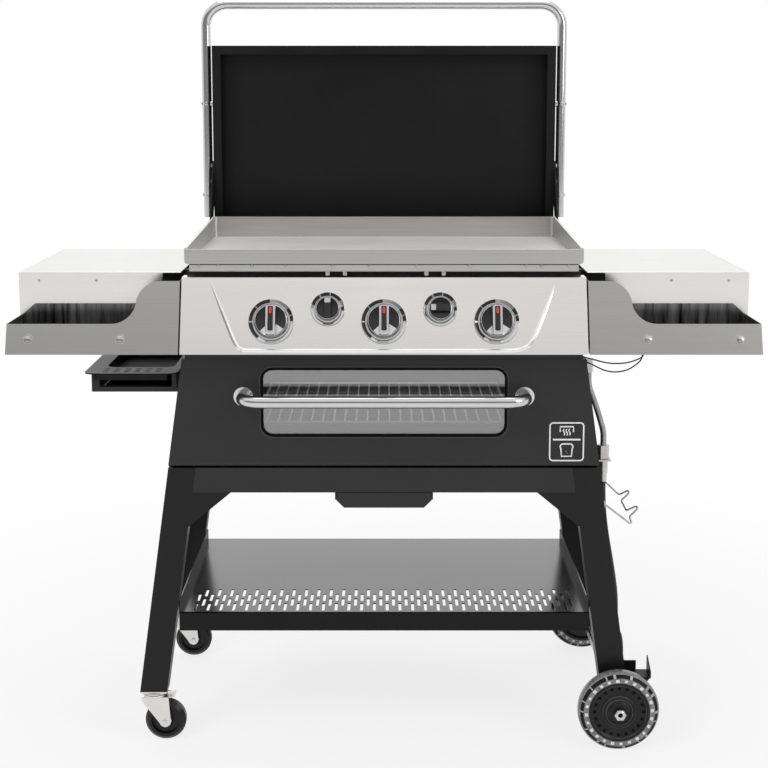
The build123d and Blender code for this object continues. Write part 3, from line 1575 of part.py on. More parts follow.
# Regulator on the end of the hose, with the hand nut for the tank below it
regulator_z = hose_end_z - 2 * regulator_neck - regulator_radius
nut_top = regulator_z - regulator_radius + regulator_neck
with BuildPart() as regulator:
    with BuildSketch(side_plane(hose_end_x - regulator_thickness / 2)):
        with Locations((hose_plane, regulator_z)):
            Circle(regulator_radius)
    extrude(amount=regulator_thickness)
    chamfer(regulator.edges().filter_by(GeomType.CIRCLE), regulator_neck / 2)
    with BuildSketch(Plane.XY.offset(regulator_z)):
        with Locations((hose_end_x, hose_plane)):
            Circle(regulator_neck)
    extrude(amount=hose_end_z - regulator_z)
    with BuildSketch(Plane.XY.offset(nut_top - hand_nut_height)):
        with Locations((hose_end_x, hose_plane)):
            Circle(hand_nut_radius)
    extrude(amount=hand_nut_height)
save(regulator, "regulator")

# Igniter leads that sag from the panel's underside to the right tray's floor
lead_start = panel_width / 2 - lead_inset
lead_routes = []
for lead_setback, lead_sag in leads:
    lead_y = panel_bottom_front + lead_setback
    lead_points = []
    for share_across, share_down in lead_route:
        lead_x = lead_start + share_across * lead_span
        lead_points.append((lead_x, lead_y, panel_bottom - share_down * lead_sag))
    lead_routes.append(lead_points)
make_cord("igniter_leads", lead_routes, lead_radius)

# Bracket on the right front leg that locates the gas tank's foot: a plate with a flange turned down
# along its front, a tab turned up at its rear and a tapered lip at its outer end
tank_leg = half_width(tank_plate_level)
tank_plate_end = tank_leg + tank_plate_width
tank_plate_back = front + leg_depth
with BuildPart() as tank_bracket:
    with BuildSketch(front_plane(tank_plate_back)):
        with BuildLine():
            Polyline(
                (tank_leg, tank_plate_level),
                (tank_plate_end, tank_plate_level),
                (tank_plate_end, tank_plate_level + sheet),
                (half_width(tank_plate_level + sheet), tank_plate_level + sheet),
                close=True,
            )
        make_face()
    extrude(amount=leg_depth)
    with BuildSketch(front_plane(front + sheet)):
        with BuildLine():
            Polyline(
                (half_width(tank_plate_level - tank_plate_flange), tank_plate_level - tank_plate_flange),
                (tank_plate_end - tank_plate_flange, tank_plate_level - tank_plate_flange),
                (tank_plate_end, tank_plate_level + sheet),
                (half_width(tank_plate_level + sheet), tank_plate_level + sheet),
                close=True,
            )
        make_face()
    extrude(amount=sheet)
    with BuildSketch(side_plane(tank_plate_end - sheet)):
        with BuildLine():
            Polyline(
                (front, tank_plate_level),
                (tank_plate_back, tank_plate_level),
                (tank_plate_back, tank_plate_level + tank_plate_lip),
                (front, tank_plate_level + tank_lip_front),
                close=True,
            )
        make_face()
    extrude(amount=sheet)
    with BuildSketch(front_plane(tank_plate_back)):
        with BuildLine():
            Polyline(
                (tank_leg, tank_plate_level),
                (tank_leg + tank_tab_width, tank_plate_level),
                (tank_leg + tank_tab_width, tank_plate_level + tank_tab_height),
                (half_width(tank_plate_level + tank_tab_height), tank_plate_level + tank_tab_height),
                close=True,
            )
        make_face()
    extrude(amount=sheet)
save(tank_bracket, "tank_bracket")

# Wire hook for the tank, bent from one length between the front leg and the side panel
hook_low = rail_bottom - hook_drop
hook_high = rail_bottom + hook_rise
hook_front = front + leg_depth - hook_pad
hook_rear = hook_front + hook_span
hook_x = half_width(hook_low) + pad_thickness / 2
hook_points = [(hook_x, hook_front, hook_low)]
for share_out, share_along, share_up in hook_route:
    hook_points.append(
        (hook_x + share_out * hook_out, hook_front + share_along * hook_span, hook_low + share_up * hook_fall)
    )
hook_points.append((half_width(hook_high) - sheet + pad_thickness / 2, hook_rear, hook_high))
with BuildPart() as tank_hook:
    add(lean_pad(0, hook_low, hook_pad, hook_front, hook_pad))
    add(lean_pad(sheet, hook_high, hook_pad, hook_rear, hook_pad))
    with BuildLine() as hook_line:
        FilletPolyline(*hook_points, radius=hook_bend)
    with BuildSketch(Plane(hook_points[0], z_dir=Vector(*hook_points[1]) - Vector(*hook_points[0]))):
        Circle(hook_wire_radius)
    sweep(path=hook_line.line)
save(tank_hook, "tank_hook")
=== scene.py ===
import json
import math

import bmesh
import bpy
from mathutils import Matrix, Vector


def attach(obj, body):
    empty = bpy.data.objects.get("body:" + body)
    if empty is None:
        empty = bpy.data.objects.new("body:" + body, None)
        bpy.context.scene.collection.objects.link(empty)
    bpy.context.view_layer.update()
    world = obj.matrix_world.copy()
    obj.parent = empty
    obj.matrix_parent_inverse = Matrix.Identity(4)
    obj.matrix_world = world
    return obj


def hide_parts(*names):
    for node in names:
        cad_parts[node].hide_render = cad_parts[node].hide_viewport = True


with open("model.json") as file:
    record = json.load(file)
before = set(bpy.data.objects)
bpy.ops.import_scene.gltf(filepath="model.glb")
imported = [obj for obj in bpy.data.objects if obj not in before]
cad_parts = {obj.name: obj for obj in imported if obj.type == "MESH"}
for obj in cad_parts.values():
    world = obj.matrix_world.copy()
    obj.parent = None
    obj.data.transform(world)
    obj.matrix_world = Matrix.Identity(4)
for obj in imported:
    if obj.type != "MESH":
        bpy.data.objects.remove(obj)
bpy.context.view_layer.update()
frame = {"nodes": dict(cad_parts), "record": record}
nodes = frame["nodes"]
scene = bpy.context.scene
MM = 0.001

# Sizes repeated from the part's source, in millimetres in the shared frame
PANEL_TILT = math.atan2(48.0, 131.0)
PANEL_BOTTOM = 745.0
PANEL_BOTTOM_FRONT = -297.5
HOSE_PLANE = -177.5
BIG_KNOBS = ((-200.0, 801.0), (0.0, 801.0), (200.0, 801.0))
SMALL_KNOBS = ((-100.0, 822.0), (100.0, 822.0))


def point(x, y, z):
    """A place in the shared frame, given in millimetres."""
    return Vector((x * MM, y * MM, z * MM))


def panel_face(level):
    """Depth of the control panel's face at a height."""
    return PANEL_BOTTOM_FRONT + (level - PANEL_BOTTOM) * math.tan(PANEL_TILT)


PANEL_NORMAL = Vector((0.0, -math.cos(PANEL_TILT), math.sin(PANEL_TILT)))


# Camera of the photograph
camera_data = bpy.data.cameras.new("camera")
camera_data.sensor_width = 36.0
camera_data.lens = 67.61
camera_data.shift_y = -0.12
camera = bpy.data.objects.new("camera", camera_data)
camera.location = point(0.0, -2800.7, 1215.0)
camera.rotation_euler = (math.radians(90.0 - 8.138), 0.0, 0.0)
scene.collection.objects.link(camera)
scene.camera = camera
scene.view_settings.view_transform = "Standard"


# Node helpers
def feed(tree, socket, value):
    """Links a socket to another one, or sets its value."""
    if isinstance(value, bpy.types.NodeSocket):
        tree.links.new(value, socket)
    else:
        socket.default_value = value


def set_inputs(node, values):
    """Sets a node's inputs by their labels."""
    for label, value in values.items():
        node.inputs[label].default_value = value


def ramp(tree, source, span, ends, interpolation="LINEAR"):
    """Maps a span of a value to the range between two ends."""
    node = tree.nodes.new("ShaderNodeMapRange")
    node.interpolation_type = interpolation
    labels = ("Value", "From Min", "From Max", "To Min", "To Max")
    for label, value in zip(labels, (source, *span, *ends)):
        feed(tree, node.inputs[label], value)
    return node.outputs["Result"]


def combine(tree, operation, first, second):
    """Joins two values by a math operation."""
    node = tree.nodes.new("ShaderNodeMath")
    node.operation = operation
    for socket, value in zip(node.inputs, (first, second)):
        feed(tree, socket, value)
    return node.outputs["Value"]


def coordinate(tree, vector, name):
    """One coordinate of a vector."""
    axes = tree.nodes.new("ShaderNodeSeparateXYZ")
    tree.links.new(vector, axes.inputs["Vector"])
    return axes.outputs[name]


MIX_SOCKETS = {"RGBA": (6, 7, 2), "FLOAT": (2, 3, 0)}


def blend(tree, factor, first, second, kind="RGBA"):
    """Mix of two colours or two values by a factor."""
    mix = tree.nodes.new("ShaderNodeMix")
    mix.data_type = kind
    first_input, second_input, output = MIX_SOCKETS[kind]
    for index, source in ((0, factor), (first_input, first), (second_input, second)):
        tree.links.new(source, mix.inputs[index])
    return mix.outputs[output]


# Shader groups shared by the finishes
NOISE_MIDDLE = (0.3, 0.7)
TEXTURE_OUTPUTS = (
    ("Color", "NodeSocketColor"),
    ("Roughness", "NodeSocketFloat"),
    ("Height", "NodeSocketFloat"),
)


def texture_group(name, scales):
    """An empty group that takes noise scales and tones, for a colour, a roughness and a height."""
    group = bpy.data.node_groups.new(name, "ShaderNodeTree")
    inputs = [(label, "NodeSocketVector", value) for label, value in scales.items()]
    inputs += [(label, "NodeSocketColor", (0.5, 0.5, 0.5, 1.0)) for label in ("Dark", "Light")]
    inputs += [(label, "NodeSocketFloat", 0.3) for label in ("Smooth", "Rough")]
    for label, kind, value in inputs:
        socket = group.interface.new_socket(label, in_out="INPUT", socket_type=kind)
        socket.default_value = value
    for label, kind in TEXTURE_OUTPUTS:
        group.interface.new_socket(label, in_out="OUTPUT", socket_type=kind)
    return group, group.nodes.new("NodeGroupInput"), group.nodes.new("NodeGroupOutput")


def scaled_noise(group, start, scale_socket, detail, roughness=0.5):
    """Noise over object coordinates multiplied by a scale vector."""
    coords = group.nodes.new("ShaderNodeTexCoord")
    stretch = group.nodes.new("ShaderNodeVectorMath")
    stretch.operation = "MULTIPLY"
    noise = group.nodes.new("ShaderNodeTexNoise")
    set_inputs(noise, {"Scale": 1.0, "Detail": detail, "Roughness": roughness})
    group.links.new(coords.outputs["Object"], stretch.inputs[0])
    group.links.new(start.outputs[scale_socket], stretch.inputs[1])
    group.links.new(stretch.outputs["Vector"], noise.inputs["Vector"])
    return noise.outputs["Fac"]


def tint_and_gloss(group, start, end, noise):
    """Puts out a colour and a roughness that follow a noise between the group's tones."""
    shade = ramp(group, noise, NOISE_MIDDLE, (0.0, 1.0))
    colour = blend(group, shade, start.outputs["Dark"], start.outputs["Light"])
    gloss = ramp(group, noise, NOISE_MIDDLE, (start.outputs["Smooth"], start.outputs["Rough"]))
    group.links.new(colour, end.inputs["Color"])
    group.links.new(gloss, end.inputs["Roughness"])


def make_grain_group():
    """Brushed or rolled lines: a tint, a roughness and a height that run along one direction."""
    group, start, end = texture_group("brushed_grain", {"Stretch": (6.0, 900.0, 900.0)})
    lines = scaled_noise(group, start, "Stretch", 4.0, 0.6)
    tint_and_gloss(group, start, end, lines)
    group.links.new(lines, end.inputs["Height"])
    return group


def make_coat_group():
    """Paint, plastic or rubber: broad handling marks in colour and gloss over a fine texture."""
    scales = {"Marks": (9.0, 9.0, 9.0), "Texture": (1400.0, 1400.0, 1400.0)}
    group, start, end = texture_group("coat_texture", scales)
    tint_and_gloss(group, start, end, scaled_noise(group, start, "Marks", 6.0, 0.62))
    group.links.new(scaled_noise(group, start, "Texture", 2.0), end.inputs["Height"])
    return group


GRAIN = make_grain_group()
COAT = make_coat_group()


def new_material(name):
    """A material with its node tree and its principled shader."""
    material = bpy.data.materials.new(name)
    material.use_nodes = True
    tree = material.node_tree
    return material, tree, tree.nodes["Principled BSDF"]


def tones(dark, light, smooth, rough, **scales):
    """Values for one of the shared groups."""
    return {"Dark": (*dark, 1.0), "Light": (*light, 1.0), "Smooth": smooth, "Rough": rough, **scales}


def add_texture(tree, group, values):
    """One of the shared groups in a material, with its values set."""
    texture = tree.nodes.new("ShaderNodeGroup")
    texture.node_tree = group
    set_inputs(texture, values)
    return texture


BUMP_DEPTH = 0.0004


def finish_material(name, group, values, metallic, bump, specular=0.5, coat=0.0, anisotropic=0.0):
    """A principled material whose colour, gloss and height come from one of the shared groups."""
    material, tree, shader = new_material(name)
    texture = add_texture(tree, group, values)
    tree.links.new(texture.outputs["Color"], shader.inputs["Base Color"])
    tree.links.new(texture.outputs["Roughness"], shader.inputs["Roughness"])
    set_inputs(shader, {"Metallic": metallic, "Specular IOR Level": specular})
    set_inputs(shader, {"Coat Weight": coat, "Anisotropic": anisotropic})
    relief = tree.nodes.new("ShaderNodeBump")
    set_inputs(relief, {"Strength": bump, "Distance": BUMP_DEPTH})
    tree.links.new(texture.outputs["Height"], relief.inputs["Height"])
    tree.links.new(relief.outputs["Normal"], shader.inputs["Normal"])
    return material


def steel(name, dark, light, smooth, rough, stretch=(5.0, 900.0, 900.0), bump=0.05, anisotropic=0.4):
    """A bare metal with lines along its grain."""
    values = tones(dark, light, smooth, rough, Stretch=stretch)
    return finish_material(name, GRAIN, values, 1.0, bump, anisotropic=anisotropic)


def painted(name, dark, light, smooth, rough, texture=1400.0, bump=0.08, coat=0.0, specular=0.5, marks=9.0):
    """A painted, moulded or rubber surface."""
    scales = {"Marks": (marks, marks, marks), "Texture": (texture, texture, texture)}
    values = tones(dark, light, smooth, rough, **scales)
    return finish_material(name, COAT, values, 0.0, bump, specular=specular, coat=coat)


def grey(level, warm=0.0):
    """A near-neutral linear colour, warmer for positive warm."""
    return (level * (1.0 + warm), level, level * (1.0 - warm))


# Stretch of the grain of some metals
COOK_GRAIN = (7.0, 500.0, 500.0)
TRAY_GRAIN = (2.0, 1600.0, 1600.0)
TUBE_GRAIN = (8.0, 1200.0, 1200.0)
BURNER_GRAIN = (30.0, 200.0, 200.0)
# Streaks in the dark strips painted as the trays' shade under the side tables
TRAY_SHADE_STREAKS = (80.0, 6.0, 6.0)
SPANGLE = (40.0, 60.0, 60.0)
PLATING = (60.0, 80.0, 80.0)
WIRE_GRAIN = (60.0, 60.0, 60.0)
POLISH = (400.0, 400.0, 400.0)

FINISHES = {
    "powder_black": painted(
        "powder_black", grey(0.014), grey(0.020), 0.34, 0.46, 1100.0, 0.10, specular=0.35
    ),
    "lid_black": painted(
        "lid_enamel", grey(0.004), grey(0.007), 0.34, 0.46, 800.0, 0.06, specular=0.25, marks=5.0
    ),
    "stainless": steel("stainless_sheet", grey(0.79, 0.010), grey(0.85, 0.010), 0.20, 0.28, bump=0.03),
    "stainless_cook": steel("cooking_steel", grey(0.50, 0.01), grey(0.60, 0.01), 0.30, 0.42, COOK_GRAIN),
    "chrome_tube": steel("polished_tube", grey(0.56), grey(0.66), 0.12, 0.20, TUBE_GRAIN, 0.03),
    "galvanised": steel("aluminised_sheet", grey(0.30), grey(0.42), 0.32, 0.48, SPANGLE, 0.04, 0.0),
    "burner_steel": steel("burner_steel", grey(0.30, 0.04), grey(0.42, 0.03), 0.30, 0.45, BURNER_GRAIN),
    "brass_manifold": steel("valve_brass", (0.50, 0.36, 0.16), (0.60, 0.45, 0.22), 0.25, 0.38),
    "zinc": steel("zinc_plate", grey(0.44, 0.01), grey(0.60, 0.02), 0.20, 0.36, PLATING, 0.05, 0.0),
    "black_plastic": painted("black_plastic", grey(0.012), grey(0.018), 0.36, 0.48, 900.0, 0.10),
    "knob_black": painted("knob_black", grey(0.008), grey(0.013), 0.22, 0.32, 900.0, 0.05),
    "bezel_chrome": steel("bezel_chrome", grey(0.55), grey(0.65), 0.10, 0.20, POLISH, 0.03, 0.0),
    "tyre_grey": painted("tyre_moulding", grey(0.045), grey(0.065), 0.42, 0.56, 700.0, 0.14),
    "hose_rubber": painted("hose_rubber", grey(0.010), grey(0.016), 0.38, 0.5, 1600.0, 0.12),
    "lead_black": painted("lead_sleeve", grey(0.012), grey(0.02), 0.35, 0.45, 2000.0, 0.06),
    "rack_wire": steel("rack_wire", grey(0.42), grey(0.54), 0.16, 0.28, WIRE_GRAIN, 0.03, 0.0),
}


def make_oven_glass():
    """Smoked glass: a coated sheet that mirrors and is half see-through."""
    material, _, shader = new_material("smoked_glass")
    set_inputs(shader, {"Base Color": (0.012, 0.012, 0.013, 1.0), "Alpha": 0.5})
    set_inputs(shader, {"Roughness": 0.04, "IOR": 2.6, "Specular IOR Level": 1.0})
    return material


FINISHES["oven_glass"] = make_oven_glass()


def dress(thing, material):
    """Gives an object one material."""
    thing.data.materials.clear()
    thing.data.materials.append(material)


for part in frame["record"]["subparts"]:
    dress(nodes[part["node"]], FINISHES[part["material_slot"]])


LEVEL_NORMAL = (0.6, 0.9)
COAT_ROUGHNESS = 0.18


def faced(name, group, side, level, metallic, specular=0.4, coat=0.0, above=None):
    """A material whose level faces differ from its upright ones, a mask used below for painted light and
    shade on tops and floors; side and level hold the group's values.
    With above, only level faces higher than that, in metres, differ."""
    material, tree, shader = new_material(name)
    set_inputs(shader, {"Metallic": metallic, "Specular IOR Level": specular})
    normal = tree.nodes.new("ShaderNodeNewGeometry").outputs["Normal"]
    factor = ramp(tree, coordinate(tree, normal, "Z"), LEVEL_NORMAL, (0.0, 1.0))
    if above is not None:
        place = tree.nodes.new("ShaderNodeTexCoord").outputs["Object"]
        higher = combine(tree, "GREATER_THAN", coordinate(tree, place, "Z"), above)
        factor = combine(tree, "MULTIPLY", factor, higher)
    upright, flat = (add_texture(tree, group, values).outputs for values in (side, level))
    colour = blend(tree, factor, upright["Color"], flat["Color"])
    tree.links.new(colour, shader.inputs["Base Color"])
    gloss = blend(tree, factor, upright["Roughness"], flat["Roughness"], "FLOAT")
    tree.links.new(gloss, shader.inputs["Roughness"])
    if coat:
        tree.links.new(combine(tree, "MULTIPLY", factor, coat), shader.inputs["Coat Weight"])
        set_inputs(shader, {"Coat Roughness": COAT_ROUGHNESS})
    return material


# Tool trays: upright faces bright steel, level faces such as the floor and rims painted dark as the shade
# inside the trays
TRAY_STEEL_PAINTED_SHADE = faced(
    "tray_steel_painted_shade",
    GRAIN,
    tones(grey(0.41, 0.012), grey(0.47, 0.010), 0.28, 0.34, Stretch=TRAY_GRAIN),
    tones(grey(0.05), grey(0.07), 0.30, 0.40, Stretch=TRAY_GRAIN),
    metallic=1.0,
)
# Griddle plate: level faces a lighter steel than its edges, painted light on the top; the top's higher
# roughness is its own finish
GRIDDLE_STEEL_LIT_TOP = faced(
    "griddle_steel_painted_top_light",
    GRAIN,
    tones(grey(0.50, 0.01), grey(0.58, 0.01), 0.30, 0.42, Stretch=COOK_GRAIN),
    tones(grey(0.76, 0.01), grey(0.86, 0.01), 0.50, 0.60, Stretch=COOK_GRAIN),
    metallic=1.0,
)
# Shelf: black sheet whose level faces are painted lighter grey as sheen, with a clear coat on them; the
# flanges keep the plain black
SHELF_PAINTED_SHEEN = faced(
    "shelf_coat_and_painted_sheen",
    COAT,
    tones(grey(0.003), grey(0.006), 0.38, 0.48),
    tones(grey(0.050), grey(0.065), 0.18, 0.26),
    metallic=0.0,
    specular=0.2,
    coat=1.0,
)
# Grease pan: black, with its level faces above 690 mm painted light grey as sheen on the top
PAN_BLACK_PAINTED_SHEEN = faced(
    "pan_black_painted_sheen",
    COAT,
    tones(grey(0.014), grey(0.022), 0.40, 0.52),
    tones(grey(0.26), grey(0.36), 0.32, 0.42),
    metallic=0.0,
    specular=0.06,
    above=0.690,
)
LINER = steel("oven_liner_sheet", grey(0.30), grey(0.40), 0.45, 0.60, SPANGLE, 0.03, 0.0)
RACK = painted("rack_plated", grey(0.66), grey(0.74), 0.22, 0.34, 700.0, 0.04)
LEG_BLACK = painted("leg_black", grey(0.006), grey(0.010), 0.36, 0.48, 1100.0, 0.10, specular=0.25)
HUB_BLACK = painted("hub_black", grey(0.003), grey(0.006), 0.26, 0.36, 900.0, 0.06, specular=0.3)
FORK_ZINC = steel("fork_zinc", grey(0.70, 0.01), grey(0.78, 0.01), 0.26, 0.38, SPANGLE, 0.04, 0.0)
ENDS = ("front", "rear")
NODE_FINISHES = {
    "oven_liner": LINER,
    "oven_rack": RACK,
    "griddle_plate": GRIDDLE_STEEL_LIT_TOP,
    "leg_gussets": LEG_BLACK,
    "tank_bracket": LEG_BLACK,
    "caster_plates": FORK_ZINC,
    "tool_tray_left": TRAY_STEEL_PAINTED_SHADE,
    "tool_tray_right": TRAY_STEEL_PAINTED_SHADE,
    "grease_pan": PAN_BLACK_PAINTED_SHEEN,
}
for end in ENDS:
    NODE_FINISHES[f"leg_{end}_left"] = LEG_BLACK
    NODE_FINISHES[f"leg_{end}_right"] = LEG_BLACK
    NODE_FINISHES[f"wheel_{end}_hub"] = HUB_BLACK
    NODE_FINISHES[f"caster_wheel_{end}"] = HUB_BLACK
    NODE_FINISHES[f"caster_fork_{end}"] = FORK_ZINC
for node, material in NODE_FINISHES.items():
    dress(nodes[node], material)


# Free cords: smooth curves on the routes of the part's source
def cord_curve(name, route, radius, slot, body="stand"):
    """A NURBS tube through a route's points, riding on a body."""
    curve = bpy.data.curves.new(name, "CURVE")
    curve.dimensions = "3D"
    curve.bevel_depth = radius * MM
    curve.bevel_resolution = 5
    curve.use_fill_caps = True
    curve.resolution_u = 12
    spline = curve.splines.new("NURBS")
    spline.points.add(len(route) - 1)
    for control, place in zip(spline.points, route):
        control.co = (*point(*place), 1.0)
    spline.order_u = 3
    spline.use_endpoint_u = True
    cord = bpy.data.objects.new(name, curve)
    scene.collection.objects.link(cord)
    dress(cord, FINISHES[slot])
    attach(cord, body)
    return cord


HOSE_RADIUS = 6.0
HOSE_TOP = (409.0, 483.0)
HOSE_END = (438.0, 205.0)
HOSE_SHARES = ((0, 0), (0, 0.13), (0.2, 0.33), (0.6, 0.55), (0.93, 0.76), (1, 0.89), (1, 1))
hose_route = []
for share_across, share_down in HOSE_SHARES:
    across = HOSE_TOP[0] + share_across * (HOSE_END[0] - HOSE_TOP[0])
    hose_route.append((across, HOSE_PLANE, HOSE_TOP[1] + share_down * (HOSE_END[1] - HOSE_TOP[1])))
hose = cord_curve("gas_hose_line", hose_route, HOSE_RADIUS, "hose_rubber")
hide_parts("gas_hose")

LEAD_SHARES = ((0, 0), (0, 0.36), (0.2, 0.62), (0.46, 1), (0.74, 0.96), (0.93, 0.6), (1, 0.34), (1, 0))
LEADS = ((-267.5, 22.0, 0.128), (-255.5, 40.0, 0.152))
LEAD_RADIUS = 1.3
LEAD_START = 349.0
LEAD_SPAN = 115.0
for number, (depth, sag, length) in enumerate(LEADS):
    lead_route = []
    for share_across, share_down in LEAD_SHARES:
        lead_route.append((LEAD_START + share_across * LEAD_SPAN, depth, PANEL_BOTTOM - share_down * sag))
    lead = cord_curve(f"igniter_lead_{number + 1}", lead_route, LEAD_RADIUS, "lead_black")
    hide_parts("igniter_leads")


# Shape building
SHARP_ANGLE = math.radians(32.0)
WELD = 0.00001
SMALL_STEPS = 28
AXLE_STEPS = 32
NUT_STEPS = 48
RING_STEPS = 64
DIAL_STEPS = 96


def new_piece(name, shape, materials, body, smooth=True):
    """Turns a bmesh into an object that rides on a body."""
    mesh = bpy.data.meshes.new(name)
    bmesh.ops.recalc_face_normals(shape, faces=shape.faces)
    shape.to_mesh(mesh)
    shape.free()
    for material in materials:
        mesh.materials.append(material)
    if smooth:
        mesh.shade_smooth()
        mesh.set_sharp_from_angle(angle=SHARP_ANGLE)
    piece = bpy.data.objects.new(name, mesh)
    scene.collection.objects.link(piece)
    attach(piece, body)
    return piece


def turned(shape, placing, profile, segments, material=0, sides_below=0.0):
    """Adds a turned form: profile is (radius, height) from the centre out, in millimetres.
    Rings inside sides_below are drawn as a hexagon, for a socket or a nut."""
    rings = []
    for radius, height in profile:
        ring = []
        for step in range(segments):
            angle = 2.0 * math.pi * step / segments
            reach = radius
            if radius < sides_below:
                sixth = math.pi / 3.0
                reach = radius * math.cos(sixth / 2.0) / math.cos(angle % sixth - sixth / 2.0)
            spot = Vector((reach * math.cos(angle), reach * math.sin(angle), height)) * MM
            ring.append(shape.verts.new(placing @ spot))
            if radius == 0.0:
                break
        rings.append(ring)
    for inner, outer in zip(rings, rings[1:]):
        for step in range(segments):
            after = (step + 1) % segments
            if len(inner) == 1:
                face = (inner[0], outer[step], outer[after])
            elif len(outer) == 1:
                face = (inner[step], outer[0], inner[after])
            else:
                face = (inner[step], outer[step], outer[after], inner[after])
            shape.faces.new(face).material_index = material


def facing(place, normal, turn=0.0):
    """Placing of a form at a point, with its height along a normal and its x kept level."""
    up = Vector(normal).normalized()
    level = Vector((1.0, 0.0, 0.0))
    if abs(up.dot(level)) > 0.9:
        level = Vector((0.0, 1.0, 0.0))
    across = (level - up * up.dot(level)).normalized()
    other = up.cross(across)
    basis = Matrix((across, other, up)).transposed().to_4x4()
    return Matrix.Translation(place) @ basis @ Matrix.Rotation(turn, 4, "Z")


def slab(shape, placing, outline, low, high, material=0, bevel=0.0):
    """Adds a flat-sided form: an outline in millimetres, raised from low to high.
    Its top edge is drawn in by bevel."""
    centre = Vector((sum(p[0] for p in outline), sum(p[1] for p in outline))) / len(outline)
    levels = [(low, 0.0), (high - bevel, 0.0), (high, bevel)] if bevel else [(low, 0.0), (high, 0.0)]
    rings = []
    for height, inset in levels:
        ring = []
        for x, y in outline:
            offset = Vector((x, y)) - centre
            drawn = centre + offset * (1.0 - inset / max(offset.length, inset + 0.001))
            ring.append(shape.verts.new(placing @ (Vector((drawn.x, drawn.y, height)) * MM)))
        rings.append(ring)
    count = len(outline)
    for lower, upper in zip(rings, rings[1:]):
        for step in range(count):
            after = (step + 1) % count
            face = shape.faces.new((lower[step], lower[after], upper[after], upper[step]))
            face.material_index = material
    shape.faces.new(rings[-1]).material_index = material
    shape.faces.new(list(reversed(rings[0]))).material_index = material


def rounded_outline(width, height, radius, corner_steps=6, centre=(0.0, 0.0)):
    """Corner points of a rounded rectangle."""
    outline = []
    for quarter, (sx, sy) in enumerate(((1, 1), (-1, 1), (-1, -1), (1, -1))):
        for step in range(corner_steps + 1):
            angle = math.pi / 2.0 * (quarter + step / corner_steps)
            x = centre[0] + sx * (width / 2.0 - radius) + radius * math.cos(angle)
            y = centre[1] + sy * (height / 2.0 - radius) + radius * math.sin(angle)
            outline.append((x, y))
    return outline


def ribbon(shape, placing, path, width, low, high, material=0, closed=False):
    """Adds a flat raised line of one width along a path in millimetres."""
    count = len(path)
    sides = []
    for index, (x, y) in enumerate(path):
        before = path[index - 1] if closed or index else path[index]
        after = path[(index + 1) % count] if closed or index < count - 1 else path[index]
        along = Vector((after[0] - before[0], after[1] - before[1])).normalized()
        across = Vector((-along.y, along.x)) * width / 2.0
        corners = []
        for sign, height in ((1, low), (1, high), (-1, high), (-1, low)):
            spot = Vector((x + sign * across.x, y + sign * across.y, height)) * MM
            corners.append(shape.verts.new(placing @ spot))
        sides.append(corners)
    pairs = list(zip(sides, sides[1:])) + ([(sides[-1], sides[0])] if closed else [])
    for first, second in pairs:
        for step in range(4):
            after = (step + 1) % 4
            face = shape.faces.new((first[step], second[step], second[after], first[after]))
            face.material_index = material
    if not closed:
        shape.faces.new(sides[0]).material_index = material
        shape.faces.new(list(reversed(sides[-1]))).material_index = material


def arc(radius, start, stop, steps, centre=(0.0, 0.0)):
    """Points along an arc, its angles in degrees."""
    points = []
    for step in range(steps + 1):
        angle = math.radians(start + (stop - start) * step / steps)
        points.append((centre[0] + radius * math.cos(angle), centre[1] + radius * math.sin(angle)))
    return points


# Extra finishes for printed marks and small pieces
POINTER_RED = painted("pointer_red", (0.55, 0.03, 0.02), (0.72, 0.06, 0.04), 0.28, 0.36, 900.0, 0.03)
DIAL_BLACK = painted("dial_black", grey(0.008), grey(0.012), 0.35, 0.45, 1200.0, 0.03)
POINTER_GREY = painted("pointer_grey", grey(0.42), grey(0.52), 0.3, 0.4, 900.0, 0.03)
# Grey for the line round the oven window, painted as a highlight on its edge
WINDOW_EDGE_HIGHLIGHT = painted("window_edge_painted_highlight", grey(0.07), grey(0.10), 0.3, 0.4, 900.0, 0.03)
PRINT_WHITE = painted("print_white", grey(0.72), grey(0.82), 0.45, 0.55, 1500.0, 0.04)
CHROME = FINISHES["bezel_chrome"]
KNOB_BLACK = FINISHES["knob_black"]
ZINC = FINISHES["zinc"]
KNOB_OUT = 3.0


# Controls: dials with a bright skirt and bar, with black sectors on their chrome faces painted as dark
# reflections, in dished bezels with printed bands
def in_spans(angle, spans):
    """True where an angle in degrees lies in one of the spans."""
    return any((angle - start) % 360.0 <= stop - start for start, stop in spans)


def tint_ring(shape, first_face, segments, spans, material):
    """Gives one ring of a turned form's faces another material within some angles."""
    shape.faces.ensure_lookup_table()
    for step in range(segments):
        if in_spans(360.0 * (step + 0.5) / segments, spans):
            shape.faces[first_face + step].material_index = material


# Angle spans of black sectors on a dial's chrome face: painted dark reflections in the chrome
DIAL_PAINTED_REFLECTION = ((-34.0, 84.0), (96.0, 226.0))
DIAL_SKIRT = (
    (0.0, 0.0), (0.97, 0.0), (1.0, 0.8), (1.0, 3.4), (0.985, 4.4), (0.955, 7.8),
    (0.94, 8.6), (0.915, 8.8), (0.895, 8.4),
)
DIAL_FACE = ((0.895, 8.4), (0.84, 7.2), (0.55, 6.4), (0.25, 6.0), (0.0, 5.9))
BIG_DIAL = {"radius": 30.5, "bar_width": 18.0, "depth": 22.0, "bright": True}
SMALL_DIAL = {"radius": 21.0, "bar_width": 13.0, "depth": 17.0, "bright": False}


